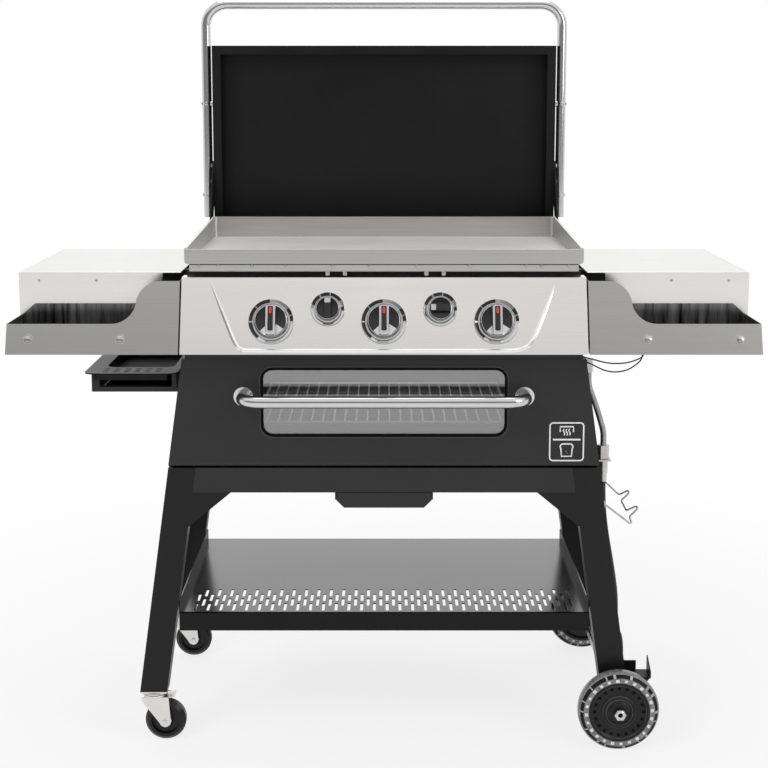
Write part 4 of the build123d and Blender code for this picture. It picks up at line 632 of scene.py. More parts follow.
def dial_knob(node, x, level, turn, radius, bar_width, depth, bright):
    """A turned skirt with a dished face and a bar grip with bright flanks and a pointer; black sectors on
    the chrome face are painted reflections.
    Skirt and face are shares of the radius, with their heights in millimetres."""
    placing = facing(point(x, panel_face(level), level) + PANEL_NORMAL * KNOB_OUT * MM, PANEL_NORMAL, turn)
    shape = bmesh.new()
    skirt = [(radius * share, height) for share, height in DIAL_SKIRT]
    face = [(radius * share, height) for share, height in DIAL_FACE]
    turned(shape, placing, skirt, DIAL_STEPS, 0)
    for inner, outer in zip(face, face[1:]):
        first = len(shape.faces)
        turned(shape, placing, (inner, outer), DIAL_STEPS, 0 if bright else 1)
        # Black sectors on the chrome face: painted reflections
        tint_ring(shape, first, DIAL_STEPS, DIAL_PAINTED_REFLECTION, 1)
    bar = rounded_outline(bar_width, radius * 1.74, bar_width * 0.3)
    slab(shape, placing, bar, 5.0, depth - 1.2, 0 if bright else 1, 1.6)
    inset = rounded_outline(bar_width * 0.54, radius * 1.46, bar_width * 0.14, centre=(0.0, radius * 0.05))
    slab(shape, placing, inset, depth - 2.0, depth - 0.5, 1, 0.7)
    if bright:
        pointer = [
            (-bar_width * 0.11, radius * 0.34), (bar_width * 0.11, radius * 0.34),
            (bar_width * 0.15, radius * 0.6), (0.0, radius * 0.77), (-bar_width * 0.15, radius * 0.6),
        ]
    else:
        pointer = rounded_outline(bar_width * 0.8, radius * 0.42, 1.5, centre=(0.0, radius * 0.6))
    slab(shape, placing, pointer, depth - 2.0, depth - 0.1, 2 if bright else 3, 0.3)
    finishes = [CHROME, KNOB_BLACK, POINTER_RED, POINTER_GREY]
    knob = new_piece(f"{node}_dial", shape, finishes, node)
    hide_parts(node)


for name, (x, level) in zip(("left", "centre", "right"), BIG_KNOBS):
    dial_knob(f"knob_griddle_{name}", x, level, 0.0, **BIG_DIAL)
for name, (x, level), turn in zip(("left", "right"), SMALL_KNOBS, (0.0, math.pi / 2.0)):
    dial_knob(f"knob_oven_{name}", x, level, turn, **SMALL_DIAL)

BIG_BANDS = ((93.0, 134.0), (137.0, 180.0), (184.0, 231.0), (20.0, 38.0), (1.0, 16.0))
SMALL_BANDS = ((122.0, 164.0), (84.0, 118.0), (34.0, 80.0), (-6.0, 8.0))
BEZELS = ((BIG_KNOBS, 40.5, 33.6, BIG_BANDS), (SMALL_KNOBS, 30.5, 23.8, SMALL_BANDS))


def make_bezels():
    """Chrome dishes whose sloping faces carry plain black bands."""
    shape = bmesh.new()
    for places, bezel, inner, spans in BEZELS:
        outer_edge = [(bezel, 0.0), (bezel, 3.0), (bezel - 0.4, 4.3), (bezel - 1.1, 5.0)]
        slope = [(bezel - 1.1, 5.0), (inner, 3.2)]
        inner_edge = [(inner, 3.2), (inner - 0.5, 3.6), (inner - 1.4, 3.6), (inner - 1.9, 2.4), (0.0, 2.4)]
        for x, level in places:
            placing = facing(point(x, panel_face(level), level), PANEL_NORMAL)
            turned(shape, placing, outer_edge, DIAL_STEPS, 0)
            first = len(shape.faces)
            turned(shape, placing, slope, DIAL_STEPS, 0)
            tint_ring(shape, first, DIAL_STEPS, spans, 1)
            turned(shape, placing, inner_edge, DIAL_STEPS, 0)
    bmesh.ops.remove_doubles(shape, verts=shape.verts, dist=WELD)
    bezels = new_piece("bezel_dishes", shape, [CHROME, DIAL_BLACK], "stand")
    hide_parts("knob_bezels")


make_bezels()


# Raised crease across the control panel
def panel_spot(x, level):
    """A point on the panel's face in its own plane, up from its lower edge."""
    return (x, (level - PANEL_BOTTOM) / math.cos(PANEL_TILT))


CREASE = (
    (-309.0, 867.0), (-286.0, 815.0), (-264.0, 766.0), (-252.0, 754.5), (-236.0, 752.0),
    (-120.0, 751.6), (0.0, 751.5), (120.0, 751.6), (224.0, 752.0), (246.0, 756.0),
    (262.0, 768.0), (284.0, 814.0), (305.0, 864.0),
)
CREASE_PROFILE = ((-3.6, 0.0), (-2.4, 0.5), (-1.2, 1.25), (0.0, 1.6), (1.2, 1.25), (2.4, 0.5), (3.6, 0.0))
CREASE_STEPS = 10
CREASE_RAISE = 0.02


def smooth_path(points, per_span):
    """Points along a smooth line through a few given ones."""
    line = []
    for index in range(len(points) - 1):
        p0 = Vector(points[max(index - 1, 0)])
        p1 = Vector(points[index])
        p2 = Vector(points[index + 1])
        p3 = Vector(points[min(index + 2, len(points) - 1)])
        for step in range(per_span):
            t = step / per_span
            a = 2.0 * p1 + (p2 - p0) * t
            b = (2.0 * p0 - 5.0 * p1 + 4.0 * p2 - p3) * t * t
            c = (3.0 * p1 - p0 - 3.0 * p2 + p3) * t * t * t
            line.append(tuple((a + b + c) / 2.0))
    line.append(tuple(points[-1]))
    return line


def make_crease():
    """A pressed ridge that fades out at both ends."""
    placing = facing(point(0.0, PANEL_BOTTOM_FRONT, PANEL_BOTTOM), PANEL_NORMAL)
    path = smooth_path([panel_spot(*spot) for spot in CREASE], CREASE_STEPS)
    shape = bmesh.new()
    rows = []
    for index, (x, y) in enumerate(path):
        before = path[max(index - 1, 0)]
        after = path[min(index + 1, len(path) - 1)]
        along = Vector((after[0] - before[0], after[1] - before[1])).normalized()
        fade = min(1.0, index / CREASE_STEPS, (len(path) - 1 - index) / CREASE_STEPS)
        row = []
        for offset, height in CREASE_PROFILE:
            reach = offset * (0.25 + 0.75 * fade)
            spot = Vector((x - along.y * reach, y + along.x * reach, height * fade + CREASE_RAISE))
            row.append(shape.verts.new(placing @ (spot * MM)))
        rows.append(row)
    for first, second in zip(rows, rows[1:]):
        for step in range(len(CREASE_PROFILE) - 1):
            shape.faces.new((first[step], second[step], second[step + 1], first[step + 1]))
    new_piece("panel_crease", shape, [FINISHES["stainless"]], "stand")


make_crease()

# Screws and bolts, grouped by the body they ride on
PAN_HEAD = ((0.0, 0.30), (0.38, 0.30), (0.42, 0.62), (0.66, 0.60), (0.86, 0.46), (0.97, 0.24), (1.0, 0.0))
BOLT_HEAD = ((0.0, 1.0), (0.5, 0.95), (0.85, 0.7), (1.0, 0.3), (1.0, 0.12))


def screw(shape, place, normal, radius, turn=0.3):
    """A pan-head screw with a hexagon socket."""
    profile = [(r * radius, h * radius) for r, h in PAN_HEAD]
    turned(shape, facing(place, normal, turn), profile, 24, 0, 0.4 * radius)


def cap_bolt(shape, place, normal, radius, height):
    """A plain domed bolt with a washer under it."""
    washer = [(0.0, 0.8), (radius * 1.35, 0.8), (radius * 1.4, 0.4), (radius * 1.4, 0.0)]
    turned(shape, facing(place, normal), washer, SMALL_STEPS)
    dome = [(r * radius, h * height) for r, h in BOLT_HEAD]
    turned(shape, facing(place, normal), dome, SMALL_STEPS)


FRONT = (0.0, -1.0, 0.0)
UP = (0.0, 0.0, 1.0)
APRON_FACE = -181.5
APRON_SCREWS = (632.0, 527.0)
APRON_SCREW_LEVEL = 862.0
APRON_SCREW = 2.6
TRAY_BOLTS = (630.0, 467.0)
TRAY_BOLT_LEVEL = 771.0
TRAY_BOLT = (6.6, 4.2)
HINGE_PLATE_FACE = 361.5
HINGE_BOLTS = ((176.0, 905.0), (150.0, 915.0))
HINGE_BOLT = (4.6, 3.4)
HINGE_SCREWS = ((160.0, 818.0), (160.0, 838.0))
HINGE_SCREW = 3.4
FRAME_FRONT = -241.5
FRAME_SIDE = 348.0
STRIP_BOLTS = (-331.0, -296.0, -236.0, -176.0, -92.0, -26.0, 58.0, 152.0, 254.0, 282.0, 330.0)
STRIP_BOLT_LEVEL = 896.0
STRIP_BOLT = 3.2
SIDE_SCREWS = (-200.0, -90.0, 20.0, 130.0)
SIDE_SCREW_LEVEL = 893.5
SIDE_SCREW = 2.8
SEAM_SHADOW_LEVEL = 898.6
SEAM_SHADOW_SIZE = (695.0, 1.8)
CLIPS = (-101.0, -70.0, 76.0, 107.0)
CLIP_FRONT = -238.0
CLIP_LEVEL = 881.8
CLIP_SIZE = (7.6, 8.2)
CLIP_HALF = 1.2
CLIP_SCREW = 2.0
stand_screws = bmesh.new()
dark_screws_and_seam_shadow = bmesh.new()
for side in (-1, 1):
    outward = (side, 0.0, 0.0)
    for x in APRON_SCREWS:
        screw(stand_screws, point(side * x, APRON_FACE, APRON_SCREW_LEVEL), FRONT, APRON_SCREW)
    for x in TRAY_BOLTS:
        place = point(side * x, panel_face(TRAY_BOLT_LEVEL), TRAY_BOLT_LEVEL)
        cap_bolt(stand_screws, place, PANEL_NORMAL, *TRAY_BOLT)
    for y, z in HINGE_BOLTS:
        cap_bolt(stand_screws, point(side * HINGE_PLATE_FACE, y, z), outward, *HINGE_BOLT)
    for y, z in HINGE_SCREWS:
        screw(dark_screws_and_seam_shadow, point(side * HINGE_PLATE_FACE, y, z), outward, HINGE_SCREW)
    for y in SIDE_SCREWS:
        screw(stand_screws, point(side * FRAME_SIDE, y, SIDE_SCREW_LEVEL), outward, SIDE_SCREW)
for x in STRIP_BOLTS:
    screw(stand_screws, point(x, FRAME_FRONT, STRIP_BOLT_LEVEL), FRONT, STRIP_BOLT, 0.3 + x)
# A dark strip under the plate's front edge, painted as the shadow line of the seam, and bright clips in the
# gap below the griddle frame
seam_shadow = facing(point(0.0, FRAME_FRONT, SEAM_SHADOW_LEVEL), FRONT)
slab(dark_screws_and_seam_shadow, seam_shadow, rounded_outline(*SEAM_SHADOW_SIZE, 0.5, 3), -0.4, 0.9, 0, 0.2)
for x in CLIPS:
    clip = facing(point(x, CLIP_FRONT, CLIP_LEVEL), FRONT)
    slab(stand_screws, clip, rounded_outline(*CLIP_SIZE, 1.6, 4), -CLIP_HALF, CLIP_HALF, 0, 0.5)
    screw(stand_screws, point(x + 0.8, CLIP_FRONT - CLIP_HALF, CLIP_LEVEL + 1.4), FRONT, CLIP_SCREW)
new_piece("screws_bright", stand_screws, [ZINC], "stand")
new_piece("screws_dark_and_seam_shadow", dark_screws_and_seam_shadow, [FINISHES["powder_black"]], "stand")

LID_SPACERS = (1177.0, 983.0)
SPACER_FRONT = (376.0, 281.7)
SPACER_SIDE = (385.6, 291.5)
LID_SCREW = 4.2
LID_ARM_FACE = 365.0
LID_ARM_BOLTS = ((288.0, 1046.0), (288.0, 1012.0))
LID_ARM_BOLT = (4.4, 3.0)
lid_screws = bmesh.new()
for side in (-1, 1):
    outward = (side, 0.0, 0.0)
    for z in LID_SPACERS:
        for (x, y), normal in ((SPACER_FRONT, FRONT), (SPACER_SIDE, outward)):
            screw(lid_screws, point(side * x, y, z), normal, LID_SCREW)
    for y, z in LID_ARM_BOLTS:
        cap_bolt(lid_screws, point(side * LID_ARM_FACE, y, z), outward, *LID_ARM_BOLT)
new_piece("lid_screws", lid_screws, [CHROME], "lid")


# Shelf: a pressed sheet with long slots, flanges and upturned sides
SHELF_HALF = 378.6
SHELF_FRONT = -245.5
SHELF_BACK = 190.5
SHELF_TOP = 252.0
SHELF_SHEET = 2.0
SHELF_FLANGE = 36.0
SHELF_WALL = 24.0
SHELF_WALL_MIDDLE = 10.0
SLOT_ROWS = 4
SLOT_COLUMNS = 30
SLOT_SIZE = (5.4, 38.0)
SLOT_PITCH = (23.8, 25.0)
SLOT_MARGIN = 27.0
SLOT_CORNER = 2.0


def pierced_sheet(outline, holes, thickness):
    """A flat sheet with holes, filled from outlines in millimetres; its middle lies at height 0."""
    curve = bpy.data.curves.new("pierced", "CURVE")
    curve.dimensions = "2D"
    curve.fill_mode = "BOTH"
    curve.extrude = thickness / 2.0 * MM
    for path in [outline, *holes]:
        spline = curve.splines.new("POLY")
        spline.points.add(len(path) - 1)
        for control, (x, y) in zip(spline.points, path):
            control.co = (x * MM, y * MM, 0.0, 1.0)
        spline.use_cyclic_u = True
    source = bpy.data.objects.new("pierced", curve)
    scene.collection.objects.link(source)
    mesh = bpy.data.meshes.new_from_object(source.evaluated_get(bpy.context.evaluated_depsgraph_get()))
    shape = bmesh.new()
    shape.from_mesh(mesh)
    bpy.data.objects.remove(source)
    bpy.data.curves.remove(curve)
    bpy.data.meshes.remove(mesh)
    return shape


def make_shelf():
    """The shelf's sheet with four staggered rows of slots along its front."""
    slots = []
    for row in range(SLOT_ROWS):
        stagger = (row % 2 - 0.5) * SLOT_PITCH[0] / 2.0
        for column in range(SLOT_COLUMNS):
            x = stagger + (column - (SLOT_COLUMNS - 1) / 2.0) * SLOT_PITCH[0]
            centre = (x, SHELF_FRONT + SLOT_MARGIN + row * SLOT_PITCH[1])
            slots.append(rounded_outline(*SLOT_SIZE, SLOT_CORNER, 2, centre))
    edge = [
        (-SHELF_HALF, SHELF_FRONT), (SHELF_HALF, SHELF_FRONT),
        (SHELF_HALF, SHELF_BACK), (-SHELF_HALF, SHELF_BACK),
    ]
    shape = pierced_sheet(edge, slots, SHELF_SHEET)
    bmesh.ops.translate(shape, verts=shape.verts, vec=(0.0, 0.0, (SHELF_TOP - SHELF_SHEET / 2.0) * MM))
    flange = rounded_outline(2.0 * SHELF_HALF, SHELF_FLANGE, 1.5, 3)
    for depth, normal in ((SHELF_FRONT, FRONT), (SHELF_BACK, (0.0, 1.0, 0.0))):
        placing = facing(point(0.0, depth, SHELF_TOP - SHELF_FLANGE / 2.0), normal)
        slab(shape, placing, flange, -SHELF_SHEET, 0.0, 0, 0.4)
    wall = rounded_outline(SHELF_BACK - SHELF_FRONT, SHELF_WALL, 1.5, 3)
    middle = (SHELF_FRONT + SHELF_BACK) / 2.0
    for side in (-1, 1):
        place = point(side * SHELF_HALF, middle, SHELF_TOP + SHELF_WALL_MIDDLE)
        slab(shape, facing(place, (side, 0.0, 0.0)), wall, -SHELF_SHEET, 0.0, 0, 0.4)
    shelf = new_piece("shelf_sheet", shape, [SHELF_PAINTED_SHEEN], "stand", smooth=False)
    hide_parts("bottom_shelf")


make_shelf()


# Wheels: clear tyres with ribs, bright inserts and cavities painted black as shade; hubs with a ring of
# holes painted black as shade and raised rings painted lighter as highlights
WHEEL_X = 432.28
WHEEL_RADIUS = 75.0
WHEEL_MIDDLES = {"front": -272.5, "rear": 217.5}
TYRE_CELLS = (28, 14, 30, 26, 13, 28, 24, 16, 30, 27, 13, 29, 25, 15, 27, 15)
TYRE_RIB_HALF = 1.8
TYRE_STEPS = 180
TYRE_INNER = ((56.2, 0.0), (56.2, 15.6), (57.0, 16.0), (65.0, 16.0), (65.6, 15.7))
TYRE_OUTER = ((71.4, 10.9), (72.2, 10.4), (74.4, 7.0), (75.0, 4.0), (75.0, 0.0))
TYRE_INSERTS = 24
INSERT_RADIUS = 60.6
INSERT_SIZE = 5.2
INSERT_SPREAD = 0.6
HUB_HOLES = 20
HUB_HOLE_RADIUS = 44.6
HUB_HOLE_SIZE = (5.4, 5.6)
HUB_RINGS = ((50.4, 14.6), (30.2, 14.6), (24.4, 16.0))
HUB_RING_PROFILE = ((-0.7, 0.0), (-0.3, 0.5), (0.3, 0.5), (0.7, 0.0))
NUT_RING = ((4.2, 28.4), (4.7, 28.9), (7.6, 28.9), (8.4, 28.3))
NUT_HOLE = ((0.0, 28.5), (2.4, 28.5), (4.2, 28.4))
TYRE_CLEAR = painted("tyre_clear", grey(0.09), grey(0.28), 0.16, 0.30, 300.0, 0.10, coat=0.3, marks=150.0)
TYRE_RIB = painted("tyre_rib", grey(0.30), grey(0.46), 0.2, 0.3, 600.0, 0.05, coat=0.3, marks=90.0)
# Black for the tyre's cavities between the ribs: painted shade, the cavities are not cut in
TYRE_CELL_SHADE = painted("tyre_cell_painted_shade", grey(0.003), grey(0.02), 0.4, 0.5, 600.0, 0.05, specular=0.1, marks=160.0)
TYRE_INSERT = painted("tyre_insert", grey(0.62), grey(0.88), 0.25, 0.4, 600.0, 0.05, marks=200.0)
# Lighter black for the hub's raised rings: painted highlights on their edges
HUB_RING_HIGHLIGHT = painted("hub_ring_painted_highlight", grey(0.02), grey(0.07), 0.10, 0.18, 500.0, 0.03, coat=0.4, marks=40.0)
# Flat black: painted shade in the hub's holes and the nut's hole; also the door's black gasket and rosette
# rings
HOLE_SHADE_AND_TRIM_BLACK = painted("hole_shade_and_trim_black", grey(0.001), grey(0.002), 0.6, 0.7, 900.0, 0.03, specular=0.1)


def make_wheel(end):
    """Tyre of one wheel and the trim on its hub's outer face."""
    outward = -1.0 if end == "front" else 1.0
    placing = facing(point(WHEEL_X, WHEEL_MIDDLES[end], WHEEL_RADIUS), (0.0, outward, 0.0))
    spans = []
    start = 0.0
    for width in TYRE_CELLS:
        spans.append((start + TYRE_RIB_HALF, start + width - TYRE_RIB_HALF))
        start += width
    tyre = bmesh.new()
    for sign in (1.0, -1.0):
        inner = [(radius, height * sign) for radius, height in TYRE_INNER]
        outer = [(radius, height * sign) for radius, height in TYRE_OUTER]
        turned(tyre, placing, inner, TYRE_STEPS, 0)
        first = len(tyre.faces)
        turned(tyre, placing, (inner[-1], outer[0]), TYRE_STEPS, 1)
        # Cavities between the ribs painted black as their shade
        tint_ring(tyre, first, TYRE_STEPS, spans, 2)
        turned(tyre, placing, outer, TYRE_STEPS, 0)
        for count in range(TYRE_INSERTS):
            turn = Matrix.Rotation(math.radians(count * 360.0 / TYRE_INSERTS + 4.0), 4, "Z")
            size = INSERT_SIZE + INSERT_SPREAD * math.sin(count * 2.3)
            insert = rounded_outline(size, size + 0.6, 0.8, 2, (INSERT_RADIUS, 0.0))
            slab(tyre, placing @ turn, insert, 15.5 * sign, 16.5 * sign, 3, 0.3)
    bmesh.ops.remove_doubles(tyre, verts=tyre.verts, dist=WELD)
    finishes = [TYRE_CLEAR, TYRE_RIB, TYRE_CELL_SHADE, TYRE_INSERT]
    piece = new_piece(f"{end}_tyre_moulding", tyre, finishes, f"{end}_wheel")
    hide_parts(f"wheel_{end}_tyre")
    trim = bmesh.new()
    # Hub holes as flat black patches: painted shade where the holes are
    hole = rounded_outline(*HUB_HOLE_SIZE, 0.8, 2, (HUB_HOLE_RADIUS, 0.0))
    for count in range(HUB_HOLES):
        turn = Matrix.Rotation(math.radians(count * 360.0 / HUB_HOLES), 4, "Z")
        slab(trim, placing @ turn, hole, 11.6, 12.3, 1, 0.2)
    # Raised hub rings painted lighter than the hub as highlights on their edges
    for radius, height in HUB_RINGS:
        ring = [(radius + across, height + up) for across, up in HUB_RING_PROFILE]
        turned(trim, placing, ring, DIAL_STEPS, 2)
    finishes = [HUB_BLACK, HOLE_SHADE_AND_TRIM_BLACK, HUB_RING_HIGHLIGHT]
    new_piece(f"{end}_hub_trim", trim, finishes, f"{end}_wheel")
    nut = bmesh.new()
    turned(nut, placing, NUT_RING, NUT_STEPS)
    # Nut's centre as a black disc: painted shade in its hole
    turned(nut, placing, NUT_HOLE, NUT_STEPS, 1)
    new_piece(f"{end}_nut_face", nut, [CHROME, HOLE_SHADE_AND_TRIM_BLACK], "stand")


for end in ENDS:
    make_wheel(end)

# Casters: rounded fork cheeks with an axle head, and bright race rings under the leg
CASTER_X = -429.17
CASTER_TRAIL = 20.0
CASTER_AXLE = 38.0
CASTER_DEPTHS = {"front": -228.5, "rear": 173.5}
CASTER_HALF = 16.0
CHEEK_TOP = ((-21.0, 76.0), (-23.0, 79.0), (-23.0, 85.5), (27.0, 85.5), (28.6, 70.0))
AXLE_HEAD = ((0.0, 1.8), (2.2, 1.8), (3.4, 1.3), (3.9, 0.0))
AXLE_RING = ((4.6, 0.05), (4.9, 0.4), (5.5, 0.4), (5.8, 0.05))
CROWN_RING = ((18.0, 86.2), (22.6, 86.2), (23.6, 87.2), (23.6, 88.4), (22.8, 89.4), (19.4, 89.4))
RACE_RING = ((19.2, 89.9), (22.4, 89.9), (23.4, 90.8), (23.4, 92.4), (22.2, 93.4), (19.2, 93.6))


def make_caster(end):
    """Cheeks and rings of one caster."""
    cheeks = bmesh.new()
    middle = CASTER_DEPTHS[end]
    cheek = [*CHEEK_TOP, *arc(10.8, 10.0, -165.0, 14, (CASTER_TRAIL, CASTER_AXLE))]
    for outward in (-1.0, 1.0):
        normal = (0.0, outward, 0.0)
        placing = facing(point(CASTER_X, middle + outward * CASTER_HALF, 0.0), normal)
        slab(cheeks, placing, [(x, -outward * z) for x, z in cheek], -0.4, 1.0, 0, 0.3)
        head = point(CASTER_X + CASTER_TRAIL, middle + outward * (CASTER_HALF + 1.0), CASTER_AXLE)
        for profile in (AXLE_HEAD, AXLE_RING):
            turned(cheeks, facing(head, normal), profile, AXLE_STEPS)
    pivot = facing(point(CASTER_X, middle, 0.0), UP)
    turned(cheeks, pivot, CROWN_RING, RING_STEPS)
    new_piece(f"{end}_caster_cheeks", cheeks, [FORK_ZINC], f"caster_{end}")
    race = bmesh.new()
    turned(race, pivot, RACE_RING, RING_STEPS)
    new_piece(f"{end}_caster_race", race, [CHROME], "stand")


for end in ENDS:
    make_caster(end)

# Dark strips with lighter streaks where the trays run back under the side tables: painted shade of that
# space, not real parts; a shield under the grease pan and caps in the legs
# Dark steel with lighter streaks: painted shade behind the tools
TRAY_SHADE_FINISH = steel("painted_tray_shade", grey(0.015), grey(0.42), 0.25, 0.35, TRAY_SHADE_STREAKS, 0.02, 0.0)
TRAY_SHADE_DEPTH = -183.2
TRAY_SHADE_OUTLINE = ((367.0, 769.0), (666.0, 769.0), (666.0, 797.0), (641.0, 819.0), (367.0, 819.0))
SHIELD_PLACE = (-453.0, -81.0, 663.4)
SHIELD_SIZE = (128.0, 262.0)
LEG_CAP_PLACE = (368.0, -228.2, 523.8)
LEG_CAP_SIZE = (44.0, 33.0)
painted_tray_shade_strips = bmesh.new()
shield = bmesh.new()
slab(shield, facing(point(*SHIELD_PLACE), UP), rounded_outline(*SHIELD_SIZE, 8.0), 0.0, 1.2, 0, 0.3)
for side in (-1, 1):
    placing = facing(point(0.0, TRAY_SHADE_DEPTH, 0.0), FRONT)
    slab(painted_tray_shade_strips, placing, [(side * x, z) for x, z in TRAY_SHADE_OUTLINE], 0.0, 0.8, 0, 0.2)
    x, y, z = LEG_CAP_PLACE
    cap = facing(point(side * x, y, z), UP)
    slab(shield, cap, rounded_outline(*LEG_CAP_SIZE, 2.0, 3), 0.0, 1.4, 0, 0.3)
new_piece("painted_tray_shade_strips", painted_tray_shade_strips, [TRAY_SHADE_FINISH], "stand", smooth=False)
new_piece("pan_shield_and_leg_caps", shield, [LEG_BLACK], "stand", smooth=False)


# Door: a panel of plain symbols without words, a gasket round the window with a painted highlight line,
# rosettes and a top strip
DOOR_FACE = -251.5
PRINT_PLACE = (331.0, 576.0)
PRINT_RAISE = 0.18
PRINT_LINE = 2.5
GASKET = (441.0, 123.0, 19.5)
WINDOW_HIGHLIGHT_LINE = (447.5, 129.5, 22.5)
WINDOW_LEVEL = 649.0
HANDLE_FOOT = (254.0, 660.0)
ROSETTE_RIM = ((17.5, 0.0), (17.5, 1.6), (16.9, 2.2), (16.0, 2.2), (15.4, 1.3))
ROSETTE_DARK = ((15.4, 1.3), (13.4, 1.2))
ROSETTE_COLLAR = ((13.4, 1.2), (13.0, 1.9), (12.0, 1.9), (11.3, 1.2))
TOP_STRIP_LEVEL = 734.0
TOP_STRIP_SIZE = (716.0, 13.0)
TOP_STRIP_BACK = 1.4


def make_door_print():
    """Heat and bread symbols in a rounded frame, printed on the door."""
    placing = facing(point(PRINT_PLACE[0], DOOR_FACE, PRINT_PLACE[1]), FRONT)
    shape = bmesh.new()

    def stroke(path, width, closed=False):
        ribbon(shape, placing, path, width, 0.0, PRINT_RAISE, closed=closed)

    stroke(rounded_outline(61.0, 70.0, 6.0), PRINT_LINE + 0.1, closed=True)
    stroke([(-25.0, 4.0), (25.0, 4.0)], PRINT_LINE + 0.6)
    stroke([(-12.0, 18.0), (-12.0, 28.0), (12.0, 28.0), (12.0, 18.0)], PRINT_LINE)
    for x in (-5.0, 0.0, 5.0):
        wave = [(x + 1.3 * math.sin(step * 0.7), 12.0 + step * 1.3) for step in range(10)]
        stroke(wave, PRINT_LINE * 0.8)
    crust = arc(5.0, -40.0, 90.0, 6, (6.5, -9.0)) + arc(5.0, 90.0, 220.0, 6, (-6.5, -9.0))
    stroke([*crust, (-9.0, -27.0), (9.0, -27.0)], PRINT_LINE, closed=True)
    leaf = arc(6.5, 20.0, 70.0, 6, (-4.5, -23.5)) + arc(6.5, 200.0, 250.0, 6, (4.5, -14.5))
    slab(shape, placing, leaf, 0.0, PRINT_RAISE)
    new_piece("door_symbols", shape, [PRINT_WHITE], "oven_door", smooth=False)


make_door_print()


def make_door_trim():
    """Gasket round the window, a grey line round it painted as the highlight on the window's edge, rosettes
    behind the handle's feet and a folded strip along the door's top.
    """
    shape = bmesh.new()
    window = facing(point(0.0, DOOR_FACE, WINDOW_LEVEL), FRONT)
    ribbon(shape, window, rounded_outline(*GASKET), 5.0, -1.0, 0.5, 0, closed=True)
    # Grey line round the window: painted highlight on its edge
    ribbon(shape, window, rounded_outline(*WINDOW_HIGHLIGHT_LINE), 0.8, -0.2, 0.5, 3, closed=True)
    for side in (-1, 1):
        foot = facing(point(side * HANDLE_FOOT[0], DOOR_FACE, HANDLE_FOOT[1]), FRONT)
        for profile, finish in ((ROSETTE_RIM, 1), (ROSETTE_DARK, 0), (ROSETTE_COLLAR, 1)):
            turned(shape, foot, profile, RING_STEPS, finish)
    strip = facing(point(0.0, DOOR_FACE + TOP_STRIP_BACK, TOP_STRIP_LEVEL), FRONT)
    slab(shape, strip, rounded_outline(*TOP_STRIP_SIZE, 1.0, 3), -1.2, 0.0, 2, 0.3)
    finishes = [HOLE_SHADE_AND_TRIM_BLACK, CHROME, FINISHES["powder_black"], WINDOW_EDGE_HIGHLIGHT]
    new_piece("door_trim", shape, finishes, "oven_door")


make_door_trim()


# Stage: pale floor that fades into a white surround, and soft lamps
FLOOR_RADIUS = 14.0
FLOOR_GREY = 0.86
FLOOR_FADE = (0.6, 1.9)
FLOOR_GLOW = 0.78


def make_floor():
    """A round pale floor that keeps the shadow near the object and is plain white far from it."""
    mesh = bpy.data.meshes.new("floor")
    shape = bmesh.new()
    bmesh.ops.create_circle(shape, cap_ends=True, segments=96, radius=FLOOR_RADIUS)
    shape.to_mesh(mesh)
    shape.free()
    floor = bpy.data.objects.new("floor", mesh)
    scene.collection.objects.link(floor)
    material, tree, shader = new_material("pale_floor")
    set_inputs(shader, {"Base Color": (*grey(FLOOR_GREY), 1.0), "Roughness": 0.7, "Specular IOR Level": 0.2})
    glow = tree.nodes.new("ShaderNodeEmission")
    set_inputs(glow, {"Strength": 1.0})
    distance = tree.nodes.new("ShaderNodeVectorMath")
    distance.operation = "LENGTH"
    tree.links.new(tree.nodes.new("ShaderNodeTexCoord").outputs["Object"], distance.inputs[0])
    fade = ramp(tree, distance.outputs["Value"], FLOOR_FADE, (FLOOR_GLOW, 1.0), "SMOOTHSTEP")
    rays = tree.nodes.new("ShaderNodeLightPath").outputs
    seen = combine(tree, "MAXIMUM", rays["Is Camera Ray"], rays["Is Glossy Ray"])
    mix = tree.nodes.new("ShaderNodeMixShader")
    tree.links.new(combine(tree, "MULTIPLY", seen, fade), mix.inputs["Fac"])
    tree.links.new(shader.outputs["BSDF"], mix.inputs[1])
    tree.links.new(glow.outputs["Emission"], mix.inputs[2])
    tree.links.new(mix.outputs["Shader"], tree.nodes["Material Output"].inputs["Surface"])
    dress(floor, material)


make_floor()

LIGHT_LEVEL = 0.55
FRONT_SHADE = 0.30


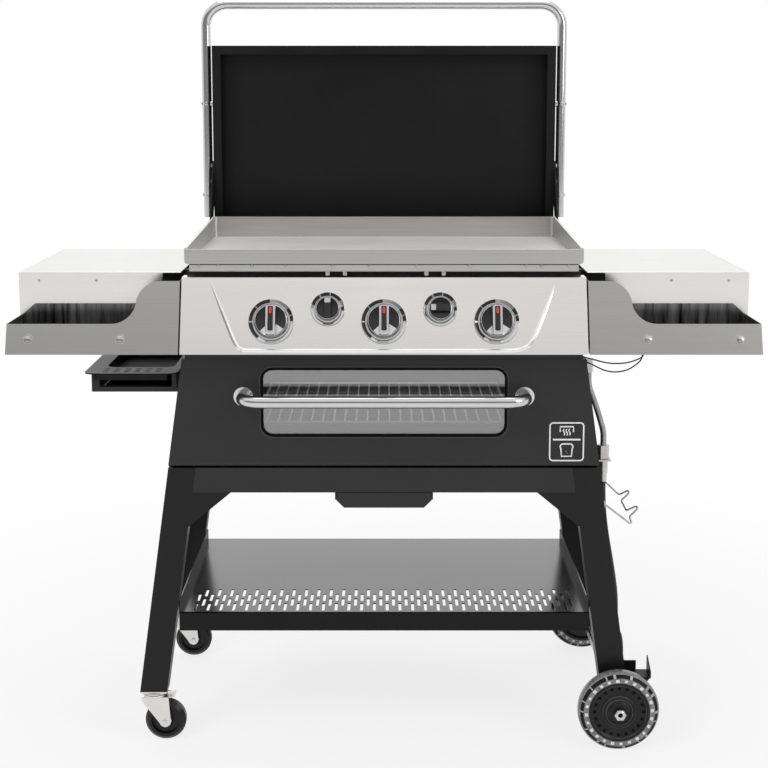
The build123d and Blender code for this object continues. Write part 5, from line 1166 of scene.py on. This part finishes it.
def make_surround():
    """White surround for the camera and for gloss, with an unlit stretch low behind the camera."""
    world = bpy.data.worlds.new("surround")
    scene.world = world
    world.use_nodes = True
    sky = world.node_tree
    background = sky.nodes["Background"]
    set_inputs(background, {"Color": (1.0, 1.0, 1.0, 1.0)})
    rays = sky.nodes.new("ShaderNodeLightPath").outputs
    heading = sky.nodes.new("ShaderNodeTexCoord").outputs["Generated"]
    behind_camera = ramp(sky, coordinate(sky, heading, "Y"), (-0.55, 0.1), (1.0, 0.0), "SMOOTHSTEP")
    low_down = ramp(sky, coordinate(sky, heading, "Z"), (0.30, 0.62), (1.0, 0.0), "SMOOTHSTEP")
    unlit = combine(sky, "MULTIPLY", behind_camera, low_down)
    studio = ramp(sky, unlit, (0.0, 1.0), (1.0, FRONT_SHADE), "SMOOTHSTEP")
    mirrored = combine(sky, "MULTIPLY", rays["Is Glossy Ray"], studio)
    plain = combine(sky, "MAXIMUM", rays["Is Camera Ray"], rays["Is Transmission Ray"])
    seen = combine(sky, "MAXIMUM", mirrored, plain)
    any_seen = combine(sky, "MAXIMUM", plain, rays["Is Glossy Ray"])
    unseen = combine(sky, "MULTIPLY", combine(sky, "SUBTRACT", 1.0, any_seen), LIGHT_LEVEL)
    sky.links.new(combine(sky, "ADD", seen, unseen), background.inputs["Strength"])


make_surround()


def soft_lamp(name, place, target, size, power):
    """A rectangular soft lamp aimed at a point, in metres and watts."""
    data = bpy.data.lights.new(name, "AREA")
    data.shape = "RECTANGLE"
    data.size, data.size_y = size
    data.energy = power
    lamp = bpy.data.objects.new(name, data)
    lamp.location = place
    lamp.rotation_euler = (Vector(target) - Vector(place)).to_track_quat("-Z", "Y").to_euler()
    scene.collection.objects.link(lamp)
    return lamp


key_lamp = soft_lamp("key_lamp", (-2.2, -2.6, 3.2), (0.0, 0.0, 0.7), (1.6, 1.6), 60.0)
key_lamp.visible_glossy = False
soft_lamp("fill_lamp", (2.8, -2.2, 2.0), (0.0, 0.0, 0.6), (1.4, 1.8), 26.0)
soft_lamp("top_lamp", (0.0, 0.4, 3.6), (0.0, 0.0, 0.8), (2.6, 1.6), 34.0)

# A weak lamp in the oven shows the rack through the glass
inner_lamp = soft_lamp("oven_lamp", (0.0, -0.05, 0.70), (0.0, -0.05, 0.5), (0.42, 0.30), 0.6)
inner_lamp.visible_camera = False
inner_lamp.visible_glossy = False
